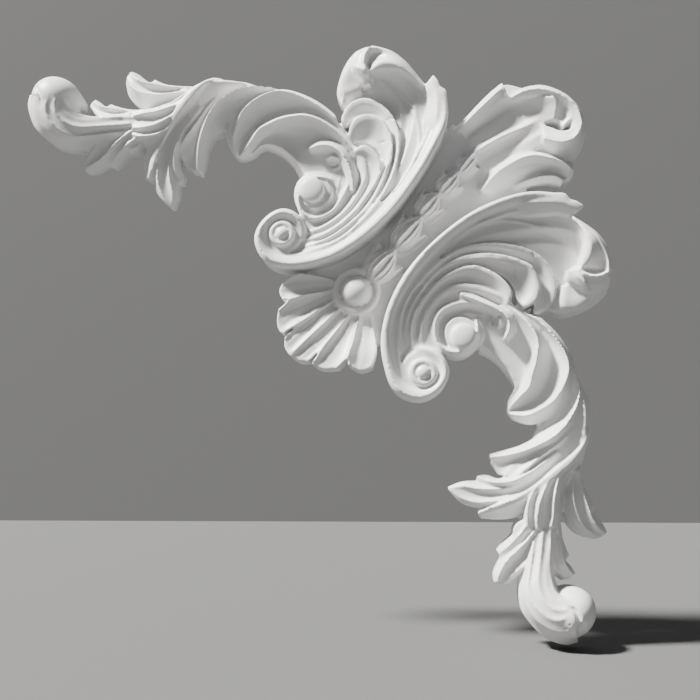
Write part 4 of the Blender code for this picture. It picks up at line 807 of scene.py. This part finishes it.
@dataclass(frozen=True)
class Husk:
    """One husk of the stem: a veined bud between two flared petals.

    Attributes:
        base: where it starts along the axis.
        tip: where its bud ends.
        half: half the breadth of the bud.
        petal: how far up the axis the petals reach.
        spread: how far their tips stand from the middle.
        top: the height of the middle vein.
        lean: how far the husk stands off the axis.
        foot: the height of its lowest edge.
    """

    base: float
    tip: float
    half: float
    petal: float
    spread: float
    top: float = 18.0
    lean: float = 0.0
    foot: float = 10.0

    def bud(self) -> Blade:
        """Draw one half of the bud between its outline and its middle vein."""
        size = self.tip - self.base
        rails = []
        for part, lift in ((1.0, -6.0), (0.9, -2.6), (0.72, -3.2), (0.5, -0.7), (0.3, -1.7), (0.0, 0.0)):
            rails.append((
                (0.4 * self.half * part, self.base, self.foot + 0.3 * lift),
                (0.85 * self.half * part, self.base + 0.18 * size, self.top + lift - 2.0),
                (self.half * part, self.base + 0.42 * size, self.top + lift),
                (0.78 * self.half * part, self.base + 0.72 * size, self.top + 0.85 * lift),
                (0.12 * part, self.tip, self.top - 1.5 + 0.3 * lift),
            ))
        return Blade(tuple(rails))

    def veins(self) -> list[Line]:
        """Draw the grooves between the leaves of the bud, and its middle vein."""
        size = self.tip - self.base
        cuts = []
        for part, cut, depth in ((0.80, Cut.GROOVE, 0.9), (0.60, Cut.RIDGE, 0.5), (0.38, Cut.GROOVE, 1.0),
                                 (0.0, Cut.RIDGE, 0.7)):
            path = (
                (0.55 * self.half * part, self.base + 0.06 * size, 0.0),
                (0.95 * self.half * part, self.base + 0.30 * size, 0.0),
                (0.90 * self.half * part, self.base + 0.58 * size, 0.0),
                (0.40 * self.half * part, self.base + 0.86 * size, 0.0),
            )
            cuts.append(Line(path, 1.5, depth, cut, shift=self.lean))
        return cuts

    def flare(self) -> Blade:
        """Draw the petal that flares out behind the bud."""
        size = self.tip - self.base
        low = self.foot
        outer = (
            (0.5 * self.half, self.base + 1.0, low - 1.0),
            (1.1 * self.half, self.base + 0.22 * size, low + 1.5),
            (1.35 * self.half, self.base + 0.5 * size, low + 2.5),
            (self.spread, self.petal, low + 3.5),
        )
        crest = (
            (0.3 * self.half, self.base + 1.0, low),
            (0.95 * self.half, self.base + 0.25 * size, low + 3.5),
            (1.12 * self.half, self.base + 0.52 * size, low + 4.5),
            (self.spread - 0.5, self.petal - 0.3, low + 4.5),
        )
        inner = (
            (0.0, self.base + 1.5, low),
            (0.5 * self.half, self.base + 0.4 * size, low + 2.5),
            (0.6 * self.half, self.base + 0.7 * size, low + 2.0),
            (self.spread - 1.6, self.petal - 0.8, low + 2.0),
        )
        return Blade((outer, crest, inner))


@dataclass(frozen=True)
class Stem:
    """The chain of husks that climbs from the button to the crest."""

    husks: tuple[Husk, ...] = (
        Husk(8.0, 29.0, 6.6, 26.0, 9.3, 20.5, 0.2),
        Husk(28.5, 50.5, 5.7, 46.0, 8.3, 20.0, -2.0),
        Husk(48.5, 65.5, 4.9, 62.5, 7.0, 19.5, -4.2),
        Husk(64.5, 81.0, 4.4, 77.5, 6.2, 19.0, -5.0),
        Husk(79.5, 93.5, 3.8, 89.5, 5.4, 19.0, -5.4),
    )
    stalk: Rail = ((0.0, 6.0, 11.0), (-4.2, 57.0, 12.0), (-5.4, 96.0, 14.0))
    stalk_size: tuple[float, float] = (3.5, 3.0)

    def build(self, bench: Workbench) -> list[bpy.types.Object]:
        """Make every husk."""
        made = [bench.sweep(Blade.cord(self.stalk, *self.stalk_size))]
        for husk in self.husks:
            for side in Side:
                for blade in (husk.bud(), husk.flare()):
                    made.append(bench.sweep(blade, side.value))
                    made[-1].location.x += husk.lean * MM
        return made


@dataclass(frozen=True)
class Crest(Carved):
    """The leaf at the head of the applique, with its midrib and its rolled tip."""

    field: Blade = Blade((
        ((-24, 94.5, 8), (-23, 106, 9.5), (-22.5, 118.5, 10), (-22.5, 131.5, 10.5), (-11.5, 138.5, 11),
         (0, 147, 11), (14, 148.5, 11), (24.5, 142, 11), (30.5, 130.5, 11)),
        ((9, 83, 8), (12.5, 88.5, 9), (15.5, 94, 10), (19, 99.5, 10.5), (23, 103.5, 11), (27.5, 107, 11),
         (31.5, 110, 11), (34.5, 113, 11), (36, 117, 11)),
    ))
    body: Blade = Blade((
        ((-24.5, 94.5, 12), (-24, 104.5, 14), (-24, 115, 15.5), (-23.5, 123, 16.5), (-22.5, 130, 17)),
        ((-21.5, 94.5, 17), (-21, 102.5, 19.5), (-20.5, 112.5, 21.5), (-20, 121, 22.5), (-20, 127.5, 22)),
        ((-19, 96, 16), (-18.5, 105, 16.8), (-17.5, 114.5, 18), (-16, 122, 19.5), (-14, 125, 21.5)),
        ((-15.5, 95.5, 13.5), (-13.5, 104.5, 14), (-11, 114.5, 15), (-8.5, 124, 16.5), (-5.5, 131.5, 20)),
        ((-10, 93.5, 13.5), (-8, 102.5, 14), (-5, 111.5, 15), (-1.5, 120.5, 16.5), (2.5, 131.5, 20)),
        ((-7, 92.5, 16.5), (-5, 100, 18), (-2, 109.5, 18.3), (1.5, 117.5, 18.5), (6, 129, 20.3)),
        ((-5.5, 93, 14), (-3, 101, 14.3), (0, 110, 15.2), (3.5, 117, 16.8), (9, 127.5, 20)),
        ((0.5, 90.5, 12.5), (2, 97.5, 13), (4, 106, 14), (8, 114, 16.5), (12, 125, 20.5)),
        ((8, 85, 12), (7.5, 92.5, 13), (8.5, 102, 14.3), (11.5, 110.5, 16), (17, 119.5, 18)),
    ), (0.0, 0.0, 1.2, 0.0, 0.0, 0.0, 0.6, 0.0))
    bowl: Blade = Blade((
        ((-7, 131.5, 20.5), (-3, 134.5, 22.8), (0.5, 136.5, 25), (3.5, 138, 26)),
        ((-2, 126.5, 17.5), (2, 129.5, 19.3), (5, 132.5, 21.8), (8, 135.5, 24.5)),
        ((5, 121.5, 18), (7.5, 125.5, 19.6), (9.5, 129, 20.8), (11, 131, 22)),
    ))
    ledge: Blade = Blade((
        ((7.5, 126, 20), (13, 128, 21.5), (18, 129.5, 23.3), (20.5, 132.5, 24.3), (20, 138, 25)),
        ((14, 120.5, 23), (18.5, 122.5, 24), (21.5, 125.5, 24.5), (24, 129.5, 25), (24.5, 134.5, 25.5)),
    ))
    pocket: Blade = Blade((
        ((2.5, 138.5, 26), (6, 137.5, 25.7), (8.5, 134.5, 24.3), (10.5, 131, 22)),
        ((4.5, 141, 23.6), (8.5, 140.5, 22.8), (11.5, 137.5, 22.2), (13.5, 132.5, 22)),
        ((7, 141.5, 25.5), (13, 140.5, 25.3), (17, 137, 24.7), (17.5, 131, 24)),
    ), (0.0, 0.5))
    roll: Blade = Blade((
        ((-15, 127.5, 15.5), (-14, 132.5, 16.5), (-11, 138, 17), (-6.5, 143, 17), (-0.5, 146, 17),
         (6.5, 148, 16.5), (14, 147.5, 16.5), (20.5, 145, 16.5), (26, 141, 16.5), (29.5, 135.5, 15.5),
         (31.5, 129.5, 14.5), (27.5, 121.5, 14), (21, 118.5, 14)),
        ((-13, 125.5, 21.5), (-11, 129.5, 24), (-7.5, 134.5, 25.5), (-3, 138, 26.5), (2.5, 140.5, 27.5),
         (8.5, 142, 28), (15, 142, 28.3), (20.5, 139.5, 28), (24, 136.5, 27.3), (25.5, 133, 26.5),
         (25, 128, 26), (21.5, 123.5, 25.3), (14.5, 120, 24)),
        ((-11, 125.5, 21), (-8.5, 129.5, 22.5), (-5, 133, 23.2), (-1.5, 136.5, 24), (3, 139, 25),
         (8, 140, 25.3), (13, 139.5, 25), (17, 137.5, 24.5), (19.5, 135, 24.3), (21, 132.5, 24.3),
         (21, 129.5, 24.2), (18.5, 125, 23.8), (13, 122, 22.8)),
    ))
    side_lobe: Blade = Blade((
        ((7.5, 81.5, 11), (6, 89, 12.5), (6.5, 97, 14), (8, 104, 15), (10.5, 110, 15.5),
         (14.5, 115.5, 15.5), (20, 119.5, 15), (26, 122, 14), (33, 124, 12.5)),
        ((10.5, 81, 16.5), (10, 87.5, 20), (10, 94, 22.3), (11.5, 99.5, 23.6), (13.5, 105.5, 24.3),
         (17, 110.5, 24.3), (21.5, 114, 23.5), (27, 117.5, 22), (32.5, 119.5, 20), (35.5, 121, 16)),
        ((13, 82.5, 14), (13, 89.5, 15.5), (14.5, 96.5, 17), (17.5, 104, 18), (22, 109.5, 18),
         (26.5, 113, 17.5), (31.5, 116, 16.5), (35.5, 118, 15.5), (36.5, 120, 14)),
        ((15.5, 85.5, 12.5), (17, 92.5, 13.5), (19.5, 99, 14.5), (22.5, 105, 15.5), (26.5, 110, 15.5),
         (30.5, 113, 15), (35, 114.5, 14.5), (37, 116, 13.5), (37, 118.5, 13)),
    ), (0.0, 0.6, 0.3))
    tongue: Blade = Blade((
        ((18, 95, 13), (20.5, 101.5, 14.5), (23, 107, 15.3), (26.5, 111.5, 15.5), (31, 114.5, 15.3),
         (36, 116, 14)),
        ((19.5, 94.5, 13.5), (22, 100, 17), (25, 104.5, 19), (28, 108.5, 19.6), (32, 111.5, 19),
         (35.5, 112.5, 17)),
        ((22, 94.5, 13), (25, 99.5, 15), (28, 104, 16), (31, 107.5, 16), (34, 109.5, 15.5),
         (36, 110.5, 14.5)),
    ))


@dataclass(frozen=True)
class Carving:
    """The fine carved lines that finish the members."""

    lines: tuple[Line, ...] = (
        Line(((20.5, 60.5, 0), (27.5, 74, 0), (35.5, 82, 0), (43.5, 86.5, 0),
              (52, 88.5, 0)), 3.0, 0.7, Cut.RIDGE),
        Line(((39.5, 85, 0), (44.5, 88.5, 0), (51.5, 90.5, 0),
              (59.5, 91, 0)), 2.0, 0.5, Cut.RIDGE),
        Line(((44.5, 83, 0), (49.5, 86, 0), (61.5, 88, 0)), 1.8, 0.4, Cut.RIDGE),
        Line(((51, 66.5, 0), (41.5, 62.5, 0), (33.5, 54.5, 0),
              (27.5, 43.5, 0)), 1.6, 0.5, Cut.RIDGE),
        Line(((48.5, 76, 0), (50.5, 75.5, 0), (53.5, 72.5, 0)), 1.8, 0.6),
        Line(((45.5, 65.5, 0), (47.5, 63.5, 0), (49.5, 61, 0)), 1.4, 0.5),
        Line(((43.5, 27, 0), (47.5, 32, 0), (52.5, 37, 0)), 1.4, 0.5, Cut.RIDGE),
        Line(((59.5, 42.5, 0), (57.5, 41.5, 0), (57, 38.5, 0), (59.5, 35.5, 0)), 2.0, 1.2),
        Line(((5, -9, 0), (6, -15, 0), (7.5, -25, 0), (9, -36, 0)), 1.3, 0.8, Cut.RIDGE),
        Line(((9, -6.5, 0), (12, -12, 0), (17, -19.5, 0), (21, -28, 0)), 1.3, 0.8, Cut.RIDGE),
        Line(((3, -10, 0), (3.5, -16, 0), (4.5, -26, 0), (5, -38, 0)), 1.6, 0.5),
        Line(((179.5, -39, 0), (183, -37.5, 0), (186.5, -38.5, 0), (191, -42, 0),
              (195.5, -45.5, 0)), 3.4, 1.8, Cut.GROOVE, False),
        Line(((189, -39, 0), (193, -41.5, 0), (196.5, -45, 0)), 6, 2.0, Cut.GROOVE, False),
        Line(((-200.5, -43, 0), (-196.5, -42, 0), (-191, -43.5, 0),
              (-186.5, -46, 0)), 2.2, 1.1, Cut.GROOVE, False),
        Line(((-196.5, -51.5, 0), (-196.5, -48, 0), (-195, -45, 0),
              (-191, -44.5, 0)), 2.4, 0.7, Cut.RIDGE, False),
        Line(((183.5, -47, 0), (184.5, -46.5, 0)), 1.8, 0.5, Cut.GROOVE, False),
        Line(((186, -44, 0), (187, -44, 0)), 1.6, 0.5, Cut.GROOVE, False),
        Line(((186.5, -46.5, 0), (187.5, -46.5, 0)), 1.8, 0.6, Cut.GROOVE, False),
        Line(((187, -53, 0), (188, -52.5, 0)), 1.8, 0.5, Cut.GROOVE, False),
        Line(((188.5, -51.5, 0), (189, -50.5, 0)), 1.6, 0.5, Cut.GROOVE, False),
    )

    def apply(self, points: np.ndarray, facing: np.ndarray, both: bool) -> None:
        """Carve the lines that both arms have, or those that only one place has."""
        veins = [line for husk in Stem().husks for line in husk.veins()]
        for line in [*self.lines, *veins]:
            if line.both == both:
                line.carve(points, facing)


@dataclass(frozen=True)
class Casting:
    """The whole casting, joined, softened and cut flat at its back.

    Attributes:
        voxel: the grain of the joined skin, in millimetres.
        softening: how many times the skin is smoothed.
        triangles: the most triangles that the mesh may keep.
        name: the name of the finished object.
        parts: what each arm has.
        single: what stands in the middle.
        carving: the fine lines.
        settling: anchors in the plan and how each arm departs from the mean of the two there.
        reach: how far an anchor is felt.
        hold: how strongly the rest of the plan keeps its place.
        middle: how far from the axis the departures fade out.
        soften: how far one smoothing goes.
        back_slack: how close to the back a point counts as on it.
        back_facing: how squarely a face looks backwards to be shaded flat.
    """

    voxel: float = 0.65
    softening: int = 5
    triangles: int = 185000
    name: str = "floral_corner_applique"
    parts: tuple[Carved, ...] = (Scroll(), Crown(), Arm(), EndLeaf(), Shell())
    single: tuple[Field | Stem | Crest, ...] = (Field(), Stem(), Crest())
    carving: Carving = field(default_factory=Carving)
    settling: tuple[tuple[float, float, float, float], ...] = (
        (52, -6, -4.7, 0.3), (48, -23, -3.4, 0.5), (62, -7, -4.3, 0), (15, 18, 0.4, 0),
        (21, -1, -0.4, 0), (13, 37, 1.1, 0), (15, 61, 1.7, 0), (21, 81, 1.3, 0), (29, 96, -0.4, 0),
        (41, 107, -1.4, -2.1), (51, 108, -2.5, -2.1), (51, 101, -1.4, -0.7), (67, 103, 0.1, -0.7),
        (89, 82, -1.7, 2.2), (71, 82, 2.2, -0.2), (72, 58, -3.3, 2.3), (65, 62, -2.1, 3.2),
        (54, 51, -7.2, 1.3), (55, 21, -2, 0), (80, 54, -0.3, 1.1), (100, 51, -0.3, -0.1),
        (118, 42, -0.3, -2), (127, 35, -0.3, -1.2), (140, 22, -0.2, 1.8), (142, 16, 0.6, 0.6),
        (78, 25, 0.9, 0.9), (99, 8, -1.5, -1.1), (111, 11, -0.4, -2.3), (106, -13, -0.6, -0.2),
        (102, -37, -0.4, 1.4), (125, -36, 1.1, 1.9), (136, -23, -1.3, 0.6), (142, -44, 0.1, 0.3),
        (152, -56, 0.2, 0.1), (175, -0, 0.8, -0.4), (161, 7, -0.1, -0.3), (179, -26, 1, 0.5),
        (168, -20, 0.6, -0.2), (182, -58, 1.1, -0.5), (197, -30, 3, 0), (201, -42, 3, 0),
        (15, 105, 0, 0), (15, 120, 0, 0), (27, 112, 0, 0), (28, 128, 0, 0), (8, 140, 0, 0),
        (22, 142, 0, 0), (180, -28, 0, 0),
    )
    reach: float = 11.0
    hold: float = 0.35
    middle: float = 6.0
    soften: float = 0.5
    back_slack: float = 0.001
    back_facing: float = 0.99

    def members(self, bench: Workbench) -> list[bpy.types.Object]:
        """Make every member of both arms and of the middle."""
        made = []
        for side in Side:
            for part in self.parts:
                made += part.build(bench, side.value)
        for part in self.single:
            made += part.build(bench)
        return made

    def build(self) -> bpy.types.Object:
        """Make the casting as one closed body in the shared frame."""
        bench = Workbench()
        made = self.members(bench)
        bench.put_away()
        clear_selection()
        for item in made:
            item.select_set(True)
        bpy.context.view_layer.objects.active = made[0]
        bpy.ops.object.join()
        body = bpy.context.object
        bpy.ops.object.transform_apply(location=True, rotation=True, scale=True)
        log.info("joined %d members", len(made))
        self.modify(body, "skin", "REMESH", mode="VOXEL", voxel_size=self.voxel * MM)
        self.modify(body, "soften", "SMOOTH", factor=self.soften, iterations=self.softening)
        self.finish_surface(body)
        self.cut_back()
        count = sum(len(face.vertices) - 2 for face in body.data.polygons)
        if count > self.triangles:
            self.modify(body, "thin", "DECIMATE", ratio=self.triangles / count)
        points = read_points(body.data)
        points[points[:, 2] < self.back_slack * MM, 2] = 0.0
        write_points(body.data, points)
        body.data.transform(plan_to_frame())
        body.name = self.name
        body.data.name = self.name
        for face in body.data.polygons:
            face.use_smooth = face.normal.y < self.back_facing
        return body

    @staticmethod
    def modify(body: bpy.types.Object, name: str, kind: str, **settings: object) -> None:
        """Add a modifier with these settings and apply it."""
        modifier = body.modifiers.new(name, kind)
        for key, value in settings.items():
            setattr(modifier, key, value)
        bpy.ops.object.modifier_apply(modifier=modifier.name)

    def finish_surface(self, body: bpy.types.Object) -> None:
        """Carve the fine lines and settle the two arms to their own outlines."""
        points = read_points(body.data) / MM
        flat = np.empty(len(points) * 3, dtype=np.float32)
        body.data.vertex_normals.foreach_get("vector", flat)
        facing = ease((flat.reshape(-1, 3)[:, 2] + 0.05) / 0.5)
        self.carving.apply(points, facing, True)
        self.settle(points)
        self.carving.apply(points, facing, False)
        write_points(body.data, points * MM)

    def settle(self, points: np.ndarray) -> None:
        """Move each arm in the plan the way it departs from the mean of the two."""
        anchors = np.array(self.settling)
        shift = np.zeros((len(points), 2))
        weight = np.full(len(points), self.hold)
        for u, v, du, dv in anchors:
            gap = (np.abs(points[:, 0]) - u) ** 2 + (points[:, 1] - v) ** 2
            near = np.exp(-gap / (2.0 * self.reach ** 2))
            shift[:, 0] += near * du
            shift[:, 1] += near * dv
            weight += near
        shift /= weight[:, None]
        side = np.clip(points[:, 0] / self.middle, -1.0, 1.0)
        points[:, 0] -= shift[:, 0] * np.abs(side)
        points[:, 1] -= shift[:, 1] * side

    @staticmethod
    def cut_back() -> None:
        """Cut the active body flat at its back and close the cut."""
        bpy.ops.object.mode_set(mode="EDIT")
        bpy.ops.mesh.select_all(action="SELECT")
        bpy.ops.mesh.bisect(plane_co=(0.0, 0.0, 0.0), plane_no=(0.0, 0.0, 1.0), use_fill=True,
                            clear_inner=True)
        bpy.ops.object.mode_set(mode="OBJECT")


def plan_to_frame() -> Matrix:
    """Give the turn that takes the plan to the shared frame."""
    half = math.sqrt(0.5)
    return Matrix(((half, half, 0.0, 0.0), (0.0, 0.0, -1.0, 0.0), (-half, half, 0.0, 0.0),
                   (0.0, 0.0, 0.0, 1.0)))


@dataclass(frozen=True)
class ResinFinish:
    """Soft satin white primer over cast resin."""

    white: tuple[float, float, float] = (0.74, 0.74, 0.73)
    grey: tuple[float, float, float] = (0.69, 0.70, 0.70)
    roughness: float = 0.42
    blotch_scale: float = 22.0
    grain_scale: float = 900.0
    grain: float = 0.04

    def material(self) -> bpy.types.Material:
        """Build the material."""
        material = bpy.data.materials.new("white primed resin")
        material.use_nodes = True
        tree = material.node_tree
        shader = tree.nodes["Principled BSDF"]
        place = tree.nodes.new("ShaderNodeTexCoord")
        blotch = tree.nodes.new("ShaderNodeTexNoise")
        blotch.inputs["Scale"].default_value = self.blotch_scale
        blotch.inputs["Detail"].default_value = 3.0
        tint = tree.nodes.new("ShaderNodeValToRGB")
        tint.color_ramp.elements[0].position = 0.35
        tint.color_ramp.elements[0].color = (*self.grey, 1.0)
        tint.color_ramp.elements[1].position = 0.6
        tint.color_ramp.elements[1].color = (*self.white, 1.0)
        grain = tree.nodes.new("ShaderNodeTexNoise")
        grain.inputs["Scale"].default_value = self.grain_scale
        bump = tree.nodes.new("ShaderNodeBump")
        bump.inputs["Strength"].default_value = self.grain
        bump.inputs["Distance"].default_value = 0.0005
        tree.links.new(place.outputs["Object"], blotch.inputs["Vector"])
        tree.links.new(place.outputs["Object"], grain.inputs["Vector"])
        tree.links.new(blotch.outputs["Fac"], tint.inputs["Fac"])
        tree.links.new(tint.outputs["Color"], shader.inputs["Base Color"])
        tree.links.new(grain.outputs["Fac"], bump.inputs["Height"])
        tree.links.new(bump.outputs["Normal"], shader.inputs["Normal"])
        shader.inputs["Roughness"].default_value = self.roughness
        return material


@dataclass(frozen=True)
class PaleFinish:
    """Plain matt paint for the stage."""

    colour: tuple[float, float, float] = (0.085, 0.086, 0.086)

    def material(self, name: str) -> bpy.types.Material:
        """Build the material."""
        material = bpy.data.materials.new(name)
        material.use_nodes = True
        shader = material.node_tree.nodes["Principled BSDF"]
        shader.inputs["Base Color"].default_value = (*self.colour, 1.0)
        shader.inputs["Roughness"].default_value = 0.9
        return material


class Glow(Enum):
    """The kinds of light."""

    DISTANT = "SUN"
    PANEL = "AREA"


@dataclass(frozen=True)
class Lamp:
    """One light of the stage.

    Attributes:
        name: its name.
        kind: distant, or a glowing panel.
        place: where it hangs.
        power: its strength, or for a panel its power in watts.
        spread: how wide it looks in degrees, or for a panel its side in metres.
        colour: its colour.
        target: what it looks at; as a rule the middle of the applique.
    """

    name: str
    kind: Glow
    place: tuple[float, float, float]
    power: float
    spread: float
    colour: tuple[float, float, float]
    target: tuple[float, float, float] = (-0.02, 0.0, -0.02)

    def hang(self) -> None:
        """Hang the light so that it looks at its target."""
        light = bpy.data.lights.new(self.name, self.kind.value)
        light.energy = self.power
        light.color = self.colour
        if self.kind is Glow.DISTANT:
            light.angle = math.radians(self.spread)
        else:
            light.size = self.spread
        lamp = bpy.data.objects.new(self.name, light)
        lamp.location = self.place
        way = Vector(self.target) - Vector(self.place)
        lamp.rotation_euler = way.to_track_quat("-Z", "Y").to_euler()
        bpy.context.scene.collection.objects.link(lamp)


@dataclass(frozen=True)
class Stage:
    """The plain floor, the wall far behind it and the soft light."""

    floor_level: float = -0.1775
    wall_place: float = 0.9
    breadth: float = 4.0
    sky_colour: tuple[float, float, float] = (0.72, 0.80, 0.92)
    sky_strength: float = 0.06
    finish: PaleFinish = field(default_factory=PaleFinish)
    lamps: tuple[Lamp, ...] = (
        Lamp("key light", Glow.DISTANT, (-0.9, -0.405, 1.125), 19.0, 8.0, (1.0, 0.98, 0.95)),
        Lamp("wall light", Glow.PANEL, (0.3, 0.1, 0.9), 2.0, 1.0, (1.0, 1.0, 1.0), (0.1, 0.9, 0.1)),
        Lamp("fill light", Glow.PANEL, (0.9, -1.1, 0.1), 0.3, 1.2, (0.88, 0.94, 1.0)),
    )

    def build(self) -> None:
        """Lay the floor, stand the wall and hang the lights."""
        clear_selection()
        middle = self.wall_place - 0.5 * self.breadth
        bpy.ops.mesh.primitive_plane_add(size=self.breadth, location=(0.0, middle, self.floor_level))
        floor = bpy.context.object
        floor.name = "stage_floor"
        height = self.floor_level + 0.5 * self.breadth
        bpy.ops.mesh.primitive_plane_add(size=self.breadth, rotation=(0.5 * math.pi, 0.0, 0.0),
                                         location=(0.0, self.wall_place, height))
        wall = bpy.context.object
        wall.name = "stage_wall"
        for item in (floor, wall):
            item.data.materials.append(self.finish.material(item.name + " paint"))
        world = bpy.data.worlds.new("soft sky")
        world.use_nodes = True
        sky = world.node_tree.nodes["Background"]
        sky.inputs["Color"].default_value = (*self.sky_colour, 1.0)
        sky.inputs["Strength"].default_value = self.sky_strength
        bpy.context.scene.world = world
        for lamp in self.lamps:
            lamp.hang()


@dataclass(frozen=True)
class Viewpoint:
    """The camera at the photograph's place."""

    place: tuple[float, float, float] = (0.0247, -0.4656, -0.0861)
    right: tuple[float, float, float] = (0.9981, 0.0619, -0.0006)
    up: tuple[float, float, float] = (0.0081, -0.1213, 0.9926)
    forward: tuple[float, float, float] = (-0.0614, 0.9907, 0.1215)
    lens: float = 46.29
    sensor: float = 36.0
    near: float = 0.01

    def build(self) -> None:
        """Set the camera."""
        data = bpy.data.cameras.new("viewpoint")
        data.lens = self.lens
        data.sensor_width = self.sensor
        data.clip_start = self.near
        camera = bpy.data.objects.new("viewpoint", data)
        turn = Matrix((self.right, self.up, tuple(-x for x in self.forward))).transposed()
        camera.matrix_world = Matrix.Translation(self.place) @ turn.to_4x4()
        bpy.context.scene.collection.objects.link(camera)
        bpy.context.scene.camera = camera


def main() -> None:
    """Build the casting, dress it and set the stage."""
    logging.basicConfig(level=logging.INFO)
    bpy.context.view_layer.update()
    body = Casting().build()
    body.data.materials.clear()
    body.data.materials.append(ResinFinish().material())
    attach(body, "root")
    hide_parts("corner_applique")
    Stage().build()
    Viewpoint().build()
    log.info("%s: %d triangles", body.name, sum(len(face.vertices) - 2 for face in body.data.polygons))


if __name__ == "__main__":
    main()
